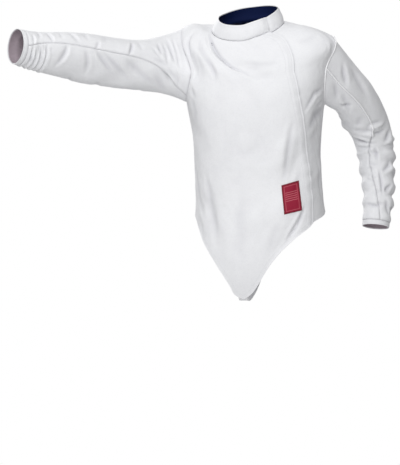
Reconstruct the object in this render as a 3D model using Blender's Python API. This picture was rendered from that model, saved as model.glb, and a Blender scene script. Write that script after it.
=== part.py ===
"""A fencing jacket, filled out as it is worn, with its right sleeve held out in front.

Metres, +Z up. The wearer faces -Y, so the wearer's right is -X and left is +X.
The origin is the middle of the neck seam, where the wearer carries the jacket.

The body is one smooth skin over rings from hem to neck. A place on it is a turn round the
body, in degrees from the front towards the wearer's left, and a level, in metres. Each panel
is a grid of such places between its seams, made into cloth of real thickness.
A place on a sleeve is a turn round the arm, in degrees from the top towards the front, and a
distance along the arm.
"""

import math
from collections import namedtuple

import bmesh
import bpy
import numpy as np
from mathutils import Vector
from mathutils.bvhtree import BVHTree

MM = 0.001

CLOTH = 1.8 * MM            # outer cloth and its protective layer, sewn together
LINING_CLOTH = 1.0 * MM
SEAM_GAP = 0.4 * MM
LAYER_GAP = 0.4 * MM        # between cloths that lie on each other
FLAP_LIFT = 5.0 * MM        # the right front stands this far off the left front
ZIP_THICKNESS = 1.0 * MM
LABEL_THICKNESS = 1.0 * MM
LABEL_LIFT = 0.8 * MM
STRAP_THICKNESS = 1.6 * MM
COLLAR_BULGE = 2.5 * MM
CUFF_BAND = 13 * MM
MITRE_LIMIT = 1.35          # longest way through a seam, in thicknesses of cloth
SHARP_ANGLE = math.radians(50)

SIDE_STEPS = 13             # grid steps up a side seam
ARMHOLE_STEPS = 11          # grid steps up one half of an armhole
SLEEVE_COLUMNS = 2 * ARMHOLE_STEPS
RIGHT_SHOULDER_STEPS = 6
LEFT_SHOULDER_STEPS = 4
RIGHT_NECK_STEPS = 16       # grid steps of each panel along the neck seam
LEFT_NECK_STEPS = 7
BACK_NECK_STEPS = 20
NECK_LINING_STEPS = 46
RIGHT_FRONT_COLUMNS = RIGHT_SHOULDER_STEPS + RIGHT_NECK_STEPS + 1
LEFT_FRONT_COLUMNS = LEFT_NECK_STEPS + LEFT_SHOULDER_STEPS + 1
BACK_COLUMNS = LEFT_SHOULDER_STEPS + BACK_NECK_STEPS + RIGHT_SHOULDER_STEPS + 1
TURN_STEP = 1.2             # degrees either side of a place, for its slopes
SLOPE_STEP = 2 * MM
RELAXING_ROUNDS = 400
FINE_STEPS = 400

# The body's rings. right, left, front and back are the reaches from the ring's middle, the
# rises are heights of those four points over the level, and square fills out the corners.
# ease is the power of the curve between rises: 1 is a flat tilted ring and 2 a saddle.
Ring = namedtuple(
    "Ring",
    "level x_mid y_mid right left front back rise_right rise_left rise_front rise_back square ease",
)
BODY = [
    Ring(-0.740, 0.014, 0.010, 0.150, 0.150, 0.070, 0.090, 0, 0, 0, 0, 0.02, 2.0),
    Ring(-0.660, 0.024, 0.006, 0.166, 0.166, 0.108, 0.110, 0, 0, 0, 0, 0.03, 2.0),
    Ring(-0.580, 0.032, 0.004, 0.170, 0.168, 0.122, 0.116, 0, 0, 0, 0, 0.04, 2.0),
    Ring(-0.500, 0.035, 0.002, 0.168, 0.168, 0.120, 0.112, 0, 0, 0, 0, 0.05, 2.0),
    Ring(-0.390, 0.033, 0.000, 0.162, 0.160, 0.112, 0.098, 0, 0, 0, 0, 0.05, 2.0),
    Ring(-0.290, 0.028, 0.000, 0.164, 0.162, 0.116, 0.104, 0, 0, 0, 0, 0.06, 2.0),
    Ring(-0.190, 0.022, 0.002, 0.176, 0.178, 0.118, 0.112, 0, 0, 0, 0, 0.07, 2.0),
    Ring(-0.120, 0.016, 0.006, 0.186, 0.200, 0.110, 0.112, 0.020, 0.014, -0.010, 0.020, 0.08, 2.0),
    Ring(-0.060, 0.010, 0.010, 0.182, 0.212, 0.098, 0.100, 0.060, 0.030, -0.024, 0.038, 0.07, 2.0),
    Ring(-0.030, 0.004, 0.008, 0.142, 0.158, 0.084, 0.086, 0.042, 0.028, -0.030, 0.040, 0.04, 2.0),
    Ring(0.000, 0.000, 0.000, 0.091, 0.095, 0.070, 0.070, -0.003, 0.006, -0.040, 0.026, 0.00, 1.2),
]
NECK_LEVEL = 0.0
SHOULDER_TURN = 90          # where the shoulder seams meet the neck
COLLAR_TOP = Ring(0.034, 0.000, 0.002, 0.074, 0.080, 0.067, 0.066, -0.005, 0.011, -0.034, 0.024, 0.0, 1.1)

# A fold runs from one place through a middle place to an end place. Its width is the reach of
# its slopes, and its depth is a ridge over 0 or a trough under 0. On the body u is the turn and
# v the level. On a sleeve u is the turn round the arm and v the distance along it.
Fold = namedtuple("Fold", "u v mid_u mid_v end_u end_v width depth")
BODY_FOLDS = [
    Fold(-86, -0.014, -16, -0.070, 26, -0.146, 0.014, -0.0050),
    Fold(-66, -0.040, -26, -0.092, 4, -0.160, 0.020, 0.0045),
    Fold(-58, -0.026, -46, -0.086, -30, -0.160, 0.016, -0.0040),
    Fold(-53, -0.050, -44, -0.100, -40, -0.150, 0.014, -0.0035),
    Fold(46, -0.250, 33, -0.312, 20, -0.400, 0.022, 0.0045),
    Fold(51, -0.290, 42, -0.350, 30, -0.400, 0.018, -0.0040),
    Fold(44, -0.480, 31, -0.540, 16, -0.600, 0.018, -0.0050),
    Fold(52, -0.440, 20, -0.470, -10, -0.520, 0.024, 0.0030),
    Fold(-44, -0.420, -34, -0.500, -24, -0.580, 0.020, -0.0040),
    Fold(-74, -0.420, -58, -0.450, -36, -0.460, 0.018, -0.0035),
    Fold(-70, -0.470, -56, -0.500, -40, -0.530, 0.016, -0.0035),
    Fold(-70, -0.200, -56, -0.260, -40, -0.330, 0.022, -0.0035),
    Fold(92, -0.210, 76, -0.260, 66, -0.330, 0.020, -0.0040),
    Fold(98, -0.330, 84, -0.360, 68, -0.380, 0.018, 0.0035),
    Fold(136, -0.140, 160, -0.200, 186, -0.240, 0.024, -0.0045),
    Fold(246, -0.130, 220, -0.180, 196, -0.250, 0.024, -0.0045),
    Fold(122, -0.250, 150, -0.300, 176, -0.320, 0.024, 0.0035),
    Fold(262, -0.330, 234, -0.370, 204, -0.390, 0.022, -0.0045),
    Fold(120, -0.380, 148, -0.420, 178, -0.430, 0.022, -0.0045),
    Fold(240, -0.430, 210, -0.450, 184, -0.490, 0.022, 0.0040),
    Fold(170, -0.060, 186, -0.110, 190, -0.170, 0.022, -0.0040),
]

# An armhole is an egg on the body skin. turn_mid and the two spans are in degrees.
Armhole = namedtuple("Armhole", "turn_mid front_span back_span turn_lean bottom top")
RIGHT_ARMHOLE = Armhole(-80, 34, 36, 0, -0.190, -0.056)
LEFT_ARMHOLE = Armhole(102, 30, 34, -4, -0.196, -0.058)

# The way of each sleeve from its armhole, its reaches from that line, and the turns of its seams.
Step = namedtuple("Step", "along x y z top under front back front_seam back_seam")
RIGHT_ARM = [
    Step(0.000, -0.158, -0.012, -0.100, 0.080, 0.088, 0.074, 0.074, 147.27, 261.82),
    Step(0.060, -0.212, -0.046, -0.094, 0.066, 0.074, 0.068, 0.066, 112, 262),
    Step(0.120, -0.258, -0.086, -0.091, 0.057, 0.071, 0.062, 0.061, 86, 262),
    Step(0.200, -0.315, -0.143, -0.086, 0.056, 0.069, 0.058, 0.058, 74, 262),
    Step(0.280, -0.368, -0.198, -0.079, 0.057, 0.068, 0.055, 0.055, 68, 262),
    Step(0.350, -0.415, -0.249, -0.072, 0.051, 0.060, 0.050, 0.050, 63, 262),
    Step(0.420, -0.461, -0.300, -0.066, 0.043, 0.052, 0.043, 0.043, 68, 262),
    Step(0.474, -0.493, -0.342, -0.061, 0.042, 0.044, 0.039, 0.039, 88, 262),
]
LEFT_ARM = [
    Step(0.000, 0.210, 0.025, -0.103, 0.078, 0.088, 0.060, 0.060, 81.82, 278.18),
    Step(0.060, 0.230, 0.060, -0.141, 0.066, 0.069, 0.060, 0.060, 76, 276),
    Step(0.130, 0.253, 0.112, -0.185, 0.063, 0.060, 0.056, 0.056, 70, 274),
    Step(0.200, 0.275, 0.164, -0.235, 0.059, 0.052, 0.052, 0.052, 72, 270),
    Step(0.280, 0.294, 0.197, -0.300, 0.053, 0.047, 0.048, 0.050, 98, 266),
    Step(0.350, 0.303, 0.192, -0.362, 0.046, 0.044, 0.045, 0.045, 101, 266),
    Step(0.430, 0.310, 0.176, -0.436, 0.040, 0.039, 0.039, 0.039, 86, 266),
    Step(0.510, 0.307, 0.156, -0.513, 0.035, 0.035, 0.034, 0.034, 60, 266),
]
RIGHT_SLEEVE_FOLDS = [
    Fold(20, 0.015, 34, 0.050, 58, 0.110, 0.013, -0.0035),
    Fold(62, 0.012, 76, 0.046, 96, 0.090, 0.013, -0.0035),
    Fold(104, 0.012, 116, 0.050, 140, 0.090, 0.014, -0.0035),
    Fold(80, 0.150, 128, 0.200, 158, 0.290, 0.018, -0.0040),
    Fold(86, 0.250, 126, 0.290, 150, 0.370, 0.016, -0.0035),
    Fold(110, 0.080, 140, 0.140, 170, 0.200, 0.018, 0.0030),
    Fold(48, 0.176, 62, 0.182, 74, 0.180, 0.010, 0.0035),
    Fold(250, 0.020, 230, 0.070, 210, 0.150, 0.018, -0.0040),
    Fold(300, 0.180, 260, 0.230, 230, 0.300, 0.018, -0.0035),
    Fold(336, 0.020, 320, 0.060, 300, 0.110, 0.015, -0.0035),
]
LEFT_SLEEVE_FOLDS = [
    Fold(60, 0.012, 84, 0.060, 104, 0.120, 0.014, -0.0040),
    Fold(20, 0.030, 46, 0.100, 60, 0.180, 0.018, -0.0040),
    Fold(110, 0.020, 136, 0.070, 160, 0.110, 0.014, -0.0035),
    Fold(150, 0.170, 176, 0.186, 210, 0.190, 0.014, 0.0060),
    Fold(96, 0.236, 140, 0.230, 176, 0.224, 0.013, -0.0050),
    Fold(10, 0.240, 40, 0.236, 76, 0.226, 0.014, -0.0040),
    Fold(250, 0.030, 230, 0.090, 216, 0.150, 0.018, -0.0040),
    Fold(290, 0.200, 250, 0.220, 210, 0.226, 0.016, -0.0045),
]

# Gathers are folds round the arm, side by side: waves of one pitch over part of the turn.
# slant is how far they climb in one turn, and every other one is lower by its unevenness.
Gather = namedtuple("Gather", "turn half_span along to_along pitch height slant uneven")
RIGHT_GATHERS = [Gather(150, 92, 0.392, 0.461, 0.0138, 0.0022, 0.010, 0.15)]
LEFT_GATHERS = [
    Gather(352, 84, 0.256, 0.500, 0.0430, 0.0052, -0.050, 0.35),
    Gather(140, 80, 0.275, 0.490, 0.0480, 0.0032, 0.040, 0.40),
]

Sleeve = namedtuple("Sleeve", "side armhole arm folds gathers rows")
RIGHT_ROWS = [(0.000, 0.386, 15), (0.386, 0.461, 16)]
LEFT_ROWS = [(0.000, 0.255, 12), (0.255, 0.497, 22)]
RIGHT = Sleeve(-1, RIGHT_ARMHOLE, RIGHT_ARM, RIGHT_SLEEVE_FOLDS, RIGHT_GATHERS, RIGHT_ROWS)
LEFT = Sleeve(1, LEFT_ARMHOLE, LEFT_ARM, LEFT_SLEEVE_FOLDS, LEFT_GATHERS, LEFT_ROWS)


def through(places, values, at):
    """Heights at the given places on a smooth curve through a table's values."""
    places = np.asarray(places, float)
    values = np.asarray(values, float)
    at = np.clip(np.asarray(at, float), places[0], places[-1])
    steps = np.diff(places)
    secants = np.diff(values) / steps
    slopes = np.empty_like(values)
    slopes[0] = secants[0]
    slopes[-1] = secants[-1]
    slopes[1:-1] = (secants[:-1] * steps[1:] + secants[1:] * steps[:-1]) / (steps[1:] + steps[:-1])
    i = np.clip(np.searchsorted(places, at) - 1, 0, len(steps) - 1)
    t = (at - places[i]) / steps[i]
    rise = values[i + 1] - values[i]
    bend = slopes[i] * steps[i] - rise
    unbend = rise - slopes[i + 1] * steps[i]
    return values[i] + t * rise + t * (1 - t) * ((1 - t) * bend + t * unbend)


def column(table, name, at):
    """One named column of a table at the given places along its first column."""
    return through([row[0] for row in table], [getattr(row, name) for row in table], at)


def smooth(t):
    """A soft step from 0 to 1 as t goes from 0 to 1."""
    t = np.clip(t, 0, 1)
    return t * t * (3 - 2 * t)


def unit(v):
    return v / np.maximum(np.linalg.norm(v, axis=-1, keepdims=True), 1e-12)


def ring_points(turn, ring):
    """Points at the given turns of a ring, whose columns may be numbers or arrays."""
    angle = np.radians(turn)
    across = np.sin(angle)
    ahead = np.cos(angle)
    fill = 1 + ring.square * np.sin(2 * angle) ** 2
    side_reach = np.where(across < 0, ring.right, ring.left)
    deep_reach = np.where(ahead > 0, ring.front, ring.back)
    side_rise = np.where(across < 0, ring.rise_right, ring.rise_left)
    deep_rise = np.where(ahead > 0, ring.rise_front, ring.rise_back)
    x = ring.x_mid + side_reach * across * fill
    y = ring.y_mid - deep_reach * ahead * fill
    z = ring.level + side_rise * np.abs(across) ** ring.ease + deep_rise * np.abs(ahead) ** ring.ease
    return np.stack([x, y, z + 0 * x], axis=-1)


FOLD_RUN = np.linspace(0, 1, 41)
FOLD_TAPER = 0.35           # share of a fold's length over which each end fades


def fold_heights(folds, form, points):
    """Height of the folds of a form at points on it, by their reach from each fold's line."""
    t = FOLD_RUN
    taper = smooth(t / FOLD_TAPER) * smooth((1 - t) / FOLD_TAPER)
    total = np.zeros(points.shape[:-1])
    for fold in folds:
        start, middle, end = (1 - t) * (1 - 2 * t), 4 * t * (1 - t), t * (2 * t - 1)
        u = start * fold.u + middle * fold.mid_u + end * fold.end_u
        v = start * fold.v + middle * fold.mid_v + end * fold.end_v
        gaps = np.linalg.norm(points[..., None, :] - form(u, v), axis=-1)
        nearest = gaps.argmin(axis=-1)
        slope = np.exp(-((gaps.min(axis=-1) / fold.width) ** 2))
        total = total + fold.depth * taper[nearest] * slope
    return total


def body_form(turn, level):
    """The body skin before its folds."""
    ring = Ring(level, *(column(BODY, name, level) for name in Ring._fields[1:]))
    return ring_points(turn, ring)


def normals_of(form, u, v, v_step, v_low, v_high):
    """Normals of a form whose u is a turn, from points a small step either side."""
    before = np.clip(v - v_step, v_low, v_high)
    after = np.clip(v + v_step, v_low, v_high)
    du = form(u + TURN_STEP, v) - form(u - TURN_STEP, v)
    dv = form(u, after) - form(u, before)
    return unit(np.cross(du, dv))


def body_form_normals(turn, level):
    return normals_of(body_form, turn, level, SLOPE_STEP, BODY[0].level, NECK_LEVEL)


def body_skin(turn, level):
    """The outer face of the body cloth, with its folds."""
    points = body_form(turn, level)
    height = fold_heights(BODY_FOLDS, body_form, points)
    return points + body_form_normals(turn, level) * height[..., None]


def body_normals(turn, level):
    return normals_of(body_skin, turn, level, SLOPE_STEP, BODY[0].level, NECK_LEVEL)


# The right front's free edge, from the neck down to its corner on the hem, and the left
# front's inner edge, which lies under it.
Edge = namedtuple("Edge", "level turn")
FLAP_EDGE = [
    Edge(-0.495, 59.0),
    Edge(-0.438, 60.5),
    Edge(-0.375, 59.5),
    Edge(-0.300, 56.0),
    Edge(-0.233, 50.5),
    Edge(-0.153, 40.5),
    Edge(-0.105, 35.0),
    Edge(-0.060, 33.0),
    Edge(-0.022, 42.0),
    Edge(0.000, 47.0),
]
UNDERLAP_TURN = 22
LIFT_START = 22             # the flap lifts over this turn before the left front's edge
LIFT_RUN = 18

# The ends of the strap between the legs: inside the front's tail and inside the back's hem.
StrapEnd = namedtuple("StrapEnd", "turn width low high")
STRAP_FRONT = StrapEnd(-3.0, 0.024, -0.673, -0.640)
STRAP_BACK = StrapEnd(184.0, 0.034, -0.522, -0.485)
STRAP_REACH = 0.085         # how far each end keeps its way before the strap bends round
STRAP_STEPS = 16

# The hem's level, round the front from the right side seam to the left one, and round the back.
Hem = namedtuple("Hem", "turn level")
TAIL_LEVEL = -0.680
FRONT_HEM = [
    Hem(-80, -0.478),
    Hem(-68, -0.487),
    Hem(-57, -0.506),
    Hem(-46, -0.541),
    Hem(-30, -0.595),
    Hem(-14.5, -0.655),
    Hem(-9, TAIL_LEVEL),
    Hem(3, TAIL_LEVEL),
    Hem(7.5, -0.665),
    Hem(19.5, -0.601),
    Hem(38.5, -0.538),
    Hem(59, -0.495),
    Hem(70, -0.486),
    Hem(88, -0.473),
    Hem(102, -0.466),
]
BACK_HEM = [
    Hem(102, -0.468),
    Hem(140, -0.500),
    Hem(184, -0.530),
    Hem(230, -0.510),
    Hem(280, -0.478),
]


ARMHOLE_POWER = 1.25        # over 1, its sides bow in towards the body


def armhole_places(armhole, turn_round):
    """Places on the body skin along an armhole, at turns from its top towards its front."""
    angle = np.radians(turn_round)
    side = -1 if armhole.turn_mid < 0 else 1
    forward = np.sin(angle)
    span = np.where(forward > 0, armhole.front_span, armhole.back_span)
    height = np.cos(angle)
    rise = 0.5 * (1 + np.sign(height) * np.abs(height) ** ARMHOLE_POWER)
    turn = armhole.turn_mid - side * span * forward + armhole.turn_lean * height
    level = armhole.bottom + (armhole.top - armhole.bottom) * rise
    return turn, level


ARMHOLE_RUN = np.linspace(0, 360, SLEEVE_COLUMNS + 1)
armhole_outlines = {}


def armhole_points(sleeve, turn_round):
    """Points of the armhole's outline, which runs straight between the panels' own points."""
    if sleeve.side not in armhole_outlines:
        armhole_outlines[sleeve.side] = body_skin(*armhole_places(sleeve.armhole, ARMHOLE_RUN))
    outline = armhole_outlines[sleeve.side]
    at = turn_round % 360
    return np.stack([np.interp(at, ARMHOLE_RUN, outline[:, axis]) for axis in range(3)], axis=-1)


def arm_line(sleeve, along):
    return np.stack([column(sleeve.arm, axis, along) for axis in "xyz"], axis=-1)


def arm_frame(sleeve, along):
    """Directions along the arm, up from it and to its front."""
    last = sleeve.arm[-1].along
    ahead = arm_line(sleeve, np.minimum(along + 2 * SLOPE_STEP, last))
    way = unit(ahead - arm_line(sleeve, np.maximum(along - 2 * SLOPE_STEP, 0)))
    facing = np.array([0.0, -1.0, 0.0])
    front = unit(facing - (way @ facing)[..., None] * way)
    up = sleeve.side * np.cross(front, way)
    return way, up, front


def arm_ring(sleeve, turn, along):
    way, up, front = arm_frame(sleeve, along)
    angle = np.radians(turn)
    high = np.cos(angle)
    ahead = np.sin(angle)
    top, under, fore, back = (column(sleeve.arm, name, along) for name in ("top", "under", "front", "back"))
    rise = np.where(high > 0, top, under) * high
    reach = np.where(ahead > 0, fore, back) * ahead
    return arm_line(sleeve, along) + up * rise[..., None] + front * reach[..., None]


CAP_LENGTH = 0.15           # the armhole's shape fades out of the sleeve's top over this length
UNDERARM_LENGTH = 0.20
SLEEVE_FADE = 0.03


def sleeve_form(sleeve, turn, along):
    """The sleeve skin before its folds: it starts on the armhole and ends on the arm's rings."""
    start = 0 * along
    offset = armhole_points(sleeve, turn) - arm_ring(sleeve, turn, start)
    quick = np.clip(1 - along / CAP_LENGTH, 0, 1) ** 2
    slow = 1 - smooth(along / UNDERARM_LENGTH)
    topmost = 0.5 + 0.5 * np.cos(np.radians(turn))
    share = topmost * quick + (1 - topmost) * slow
    return arm_ring(sleeve, turn, along) + offset * share[..., None]


GATHER_CORE = 0.4           # share of its half span over which a gather keeps its full height
GATHER_END = 0.5            # waves over which a run of gathers fades


def gather_heights(gathers, turn, along):
    total = 0 * (turn + along)
    for gather in gathers:
        away = (turn - gather.turn + 180) % 360 - 180
        span = 1 - smooth((np.abs(away) / gather.half_span - GATHER_CORE) / (1 - GATHER_CORE))
        run = (along - gather.along) / gather.pitch
        last = (gather.to_along - gather.along) / gather.pitch
        share = smooth(run / GATHER_END) * smooth((last - run) / GATHER_END)
        wave = run - gather.slant / gather.pitch * away / 360
        size = 1 - gather.uneven * (0.5 - 0.5 * np.cos(np.pi * wave))
        total = total + gather.height * span * share * size * -np.cos(2 * np.pi * wave)
    return total


def sleeve_form_normals(sleeve, turn, along):
    def form(u, v):
        return sleeve_form(sleeve, u, v)

    return normals_of(form, turn, along, SLOPE_STEP, 0, sleeve.arm[-1].along) * sleeve.side


def sleeve_skin(sleeve, turn, along):
    """The outer face of the sleeve's cloth. Its folds fade in from the armhole."""
    def form(u, v):
        return sleeve_form(sleeve, u, v)

    points = form(turn, along)
    height = fold_heights(sleeve.folds, form, points) + gather_heights(sleeve.gathers, turn, along)
    height = height * smooth(along / SLEEVE_FADE)
    return points + sleeve_form_normals(sleeve, turn, along) * height[..., None]


def sleeve_normals(sleeve, turn, along):
    def skin(u, v):
        return sleeve_skin(sleeve, u, v)

    return normals_of(skin, turn, along, SLOPE_STEP, 0, sleeve.arm[-1].along) * sleeve.side


def mitre(one, other):
    """Where two cloths meet, the way through their thickness that they share."""
    between = unit(one + other)
    lean = np.sum(one * between, axis=-1, keepdims=True)
    return between / np.maximum(lean, 1 / MITRE_LIMIT)


def armhole_mitre(sleeve, turn):
    body = body_normals(*armhole_places(sleeve.armhole, turn))
    return mitre(body, sleeve_normals(sleeve, turn, 0 * turn))


BODY_REACH = 0.15           # turns on the body count as lengths at this radius


def coons(bottom, top, left, right):
    """A grid of places inside four border lines that share their corners."""
    s = np.linspace(0, 1, len(bottom))[None, :, None]
    t = np.linspace(0, 1, len(left))[:, None, None]
    ruled = (1 - t) * bottom[None] + t * top[None] + (1 - s) * left[:, None] + s * right[:, None]
    low = (1 - s) * bottom[0] + s * bottom[-1]
    high = (1 - s) * top[0] + s * top[-1]
    return ruled - (1 - t) * low - t * high


LEVELS = np.linspace(BODY[0].level, NECK_LEVEL, FINE_STEPS)
PATH_TURN = -55             # lengths of cloth up the body are measured here
path_lengths = []


def level_lengths():
    """Length of cloth up the front of the body to each of the levels."""
    if not path_lengths:
        path = body_form(PATH_TURN + 0 * LEVELS, LEVELS)
        steps = np.linalg.norm(np.diff(path, axis=0), axis=-1)
        path_lengths.append(np.concatenate([[0], np.cumsum(steps)]))
    return path_lengths[0]


def even_levels(low, high, count):
    """Levels from low to high, evenly spaced along the cloth."""
    lengths = level_lengths()
    ends = np.interp([low, high], LEVELS, lengths)
    return np.interp(np.linspace(*ends, count), lengths, LEVELS)


def runs(points):
    """How far along each column its points lie, from 0 to 1."""
    steps = np.linalg.norm(np.diff(points, axis=0), axis=-1)
    run = np.concatenate([0 * steps[:1], np.cumsum(steps, axis=0)])
    return run / run[-1]


def respaced(r):
    """The same columns, with rows spread along them as they are along the outer two."""
    run = runs(r)
    share = np.linspace(0, 1, r.shape[1])
    wanted = run[:, :1] * (1 - share) + run[:, -1:] * share
    moved = r.copy()
    for j in range(1, r.shape[1] - 1):
        for axis in range(2):
            moved[:, j, axis] = np.interp(wanted[:, j], run[:, j], r[:, j, axis])
    return moved


def relaxed(grid):
    """The same borders with an even grid inside: its lines solve the usual elliptic equations."""
    lengths = level_lengths()
    across = np.radians(grid[..., 0]) * BODY_REACH
    r = np.stack([across, np.interp(grid[..., 1], LEVELS, lengths)], axis=-1)
    for _ in range(RELAXING_ROUNDS):
        du = (r[1:-1, 2:] - r[1:-1, :-2]) / 2
        dv = (r[2:, 1:-1] - r[:-2, 1:-1]) / 2
        cross = (r[2:, 2:] - r[2:, :-2] - r[:-2, 2:] + r[:-2, :-2]) / 4
        alpha = np.sum(dv * dv, axis=-1, keepdims=True)
        beta = np.sum(du * dv, axis=-1, keepdims=True)
        gamma = np.sum(du * du, axis=-1, keepdims=True)
        sides = alpha * (r[1:-1, 2:] + r[1:-1, :-2])
        ends = gamma * (r[2:, 1:-1] + r[:-2, 1:-1])
        r[1:-1, 1:-1] = (sides + ends - 2 * beta * cross) / (2 * (alpha + gamma))
    r = respaced(r)
    inside = np.stack([np.degrees(r[..., 0]) / BODY_REACH, np.interp(r[..., 1], lengths, LEVELS)], axis=-1)
    inside[0], inside[-1], inside[:, 0], inside[:, -1] = grid[0], grid[-1], grid[:, 0], grid[:, -1]
    return inside


def line(start, end, count):
    return np.linspace(np.array(start, float), np.array(end, float), count)


def joined(*lines):
    """Lines end to end as one, each shared point once."""
    return np.concatenate([lines[0], *(more[1:] for more in lines[1:])])


def pairs(turn, level):
    return np.stack([turn, level + 0 * turn], axis=-1)


def spread(table, count):
    """Evenly spaced places along a table of turn and level, measured in metres of cloth."""
    turns = np.linspace(table[0].turn, table[-1].turn, FINE_STEPS)
    rows = sorted(table, key=lambda row: row.turn)
    levels = through([row.turn for row in rows], [row.level for row in rows], turns)
    steps = np.hypot(np.diff(np.radians(turns)) * BODY_REACH, np.diff(levels))
    run = np.concatenate([[0], np.cumsum(steps)])
    at = np.linspace(0, run[-1], count)
    return pairs(np.interp(at, run, turns), np.interp(at, run, levels))


def flap_turn(level):
    return through([row.level for row in FLAP_EDGE], [row.turn for row in FLAP_EDGE], level)


def hem_level(turn):
    return float(through([row.turn for row in FRONT_HEM], [row.level for row in FRONT_HEM], turn))


def armhole_line(armhole, half, count):
    """Places from the bottom of an armhole to its top, by its front or its back."""
    ends = (180, 0) if half == "front" else (180, 360)
    turn, level = armhole_places(armhole, np.linspace(*ends, count))
    return pairs(turn, level)


def side_and_armhole(armhole, half, hem):
    """A panel's edge from the hem up the side seam, then along the armhole to the shoulder."""
    arm = armhole_line(armhole, half, ARMHOLE_STEPS + 1)
    seam = line((armhole.turn_mid, hem), arm[0], SIDE_STEPS + 1)
    return joined(seam, arm)


def flap_lift(turn, level):
    """How far the right front stands off the skin, so that it clears the left front."""
    inner = flap_turn(level) - UNDERLAP_TURN
    return FLAP_LIFT * smooth((turn - inner + LIFT_START) / LIFT_RUN)


def right_front_grid():
    left = side_and_armhole(RIGHT_ARMHOLE, "front", FRONT_HEM[0].level)
    levels = even_levels(FLAP_EDGE[0].level, NECK_LEVEL, len(left))
    right = pairs(flap_turn(levels), levels)
    hem = [row for row in FRONT_HEM if row.turn <= FLAP_EDGE[0].turn]
    bottom = spread(hem, RIGHT_FRONT_COLUMNS)
    neck_point = (-SHOULDER_TURN, NECK_LEVEL)
    shoulder = line(left[-1], neck_point, RIGHT_SHOULDER_STEPS + 1)
    neck = line(neck_point, right[-1], RIGHT_NECK_STEPS + 1)
    return relaxed(coons(bottom, joined(shoulder, neck), left, right))


def left_front_grid():
    right = side_and_armhole(LEFT_ARMHOLE, "front", FRONT_HEM[-1].level)
    low = FLAP_EDGE[0].turn - UNDERLAP_TURN
    start = hem_level(low)
    levels = even_levels(start, NECK_LEVEL, len(right))
    left = pairs(flap_turn(np.maximum(levels, FLAP_EDGE[0].level)) - UNDERLAP_TURN, levels)
    rest = [row for row in FRONT_HEM if row.turn > low]
    bottom = spread([Hem(low, start), *rest], LEFT_FRONT_COLUMNS)
    neck_point = (SHOULDER_TURN, NECK_LEVEL)
    neck = line(left[-1], neck_point, LEFT_NECK_STEPS + 1)
    shoulder = line(neck_point, right[-1], LEFT_SHOULDER_STEPS + 1)
    return relaxed(coons(bottom, joined(neck, shoulder), left, right))


def back_grid():
    left = side_and_armhole(LEFT_ARMHOLE, "back", BACK_HEM[0].level)
    right = side_and_armhole(RIGHT_ARMHOLE, "back", BACK_HEM[-1].level)
    right[:, 0] += 360
    bottom = spread(BACK_HEM, BACK_COLUMNS)
    left_point = (SHOULDER_TURN, NECK_LEVEL)
    right_point = (360 - SHOULDER_TURN, NECK_LEVEL)
    left_shoulder = line(left[-1], left_point, LEFT_SHOULDER_STEPS + 1)
    neck = line(left_point, right_point, BACK_NECK_STEPS + 1)
    right_shoulder = line(right_point, right[-1], RIGHT_SHOULDER_STEPS + 1)
    return relaxed(coons(bottom, joined(left_shoulder, neck, right_shoulder), left, right))


def inward(border, inside):
    """Directions in the cloth, square to its border."""
    tangent = unit(np.gradient(border, axis=0))
    ahead = inside - border
    return unit(ahead - np.sum(ahead * tangent, axis=-1, keepdims=True) * tangent)


def drawn_in(points, gap, sides):
    """A grid of points with the named borders moved in by half the seam gap."""
    moved = points.copy()
    if "bottom" in sides:
        moved[0] += inward(points[0], points[1]) * gap / 2
    if "top" in sides:
        moved[-1] += inward(points[-1], points[-2]) * gap / 2
    if "left" in sides:
        moved[:, 0] += inward(points[:, 0], points[:, 1]) * gap / 2
    if "right" in sides:
        moved[:, -1] += inward(points[:, -1], points[:, -2]) * gap / 2
    return moved


def material(name, colour, roughness):
    finish = bpy.data.materials.new(name)
    finish.use_nodes = True
    shader = finish.node_tree.nodes["Principled BSDF"]
    shader.inputs["Base Color"].default_value = (*colour, 1)
    shader.inputs["Roughness"].default_value = roughness
    shader.inputs["Metallic"].default_value = 0
    return finish


def triangles(points, closed=False):
    """A grid's cells as triangles of its places, each cell cut along its shorter diagonal."""
    rows, columns = points.shape[:2]
    found = []
    for i in range(rows - 1):
        for j in range(columns if closed else columns - 1):
            a, b, c, d = (i, j), (i, (j + 1) % columns), (i + 1, (j + 1) % columns), (i + 1, j)
            if np.linalg.norm(points[a] - points[c]) <= np.linalg.norm(points[b] - points[d]):
                found += [(a, b, c), (a, c, d)]
            else:
                found += [(a, b, d), (b, c, d)]
    return found


def cloth(name, outer, inner, finish, jacket, closed=False):
    """A wall of cloth between two grids of points. A closed one joins its first and last column."""
    rows, columns = outer.shape[:2]
    mesh = bpy.data.meshes.new(name)
    build = bmesh.new()
    out, back = ([[build.verts.new(point) for point in row] for row in grid] for grid in (outer, inner))
    for (i, j), (k, l), (m, n) in triangles(outer, closed):
        build.faces.new((out[i][j], out[k][l], out[m][n]))
        build.faces.new((back[m][n], back[k][l], back[i][j]))
    for j in range(columns if closed else columns - 1):
        k = (j + 1) % columns
        build.faces.new((out[0][k], out[0][j], back[0][j], back[0][k]))
        build.faces.new((out[-1][j], out[-1][k], back[-1][k], back[-1][j]))
    if not closed:
        for i in range(rows - 1):
            build.faces.new((out[i][0], out[i + 1][0], back[i + 1][0], back[i][0]))
            build.faces.new((out[i + 1][-1], out[i][-1], back[i][-1], back[i + 1][-1]))
    bmesh.ops.recalc_face_normals(build, faces=build.faces)
    build.to_mesh(mesh)
    build.free()
    mesh.materials.append(finish)
    mesh.shade_smooth()
    mesh.set_sharp_from_angle(angle=SHARP_ANGLE)
    piece = bpy.data.objects.new(name, mesh)
    bpy.context.scene.collection.objects.link(piece)
    piece.parent = jacket
    return piece


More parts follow.
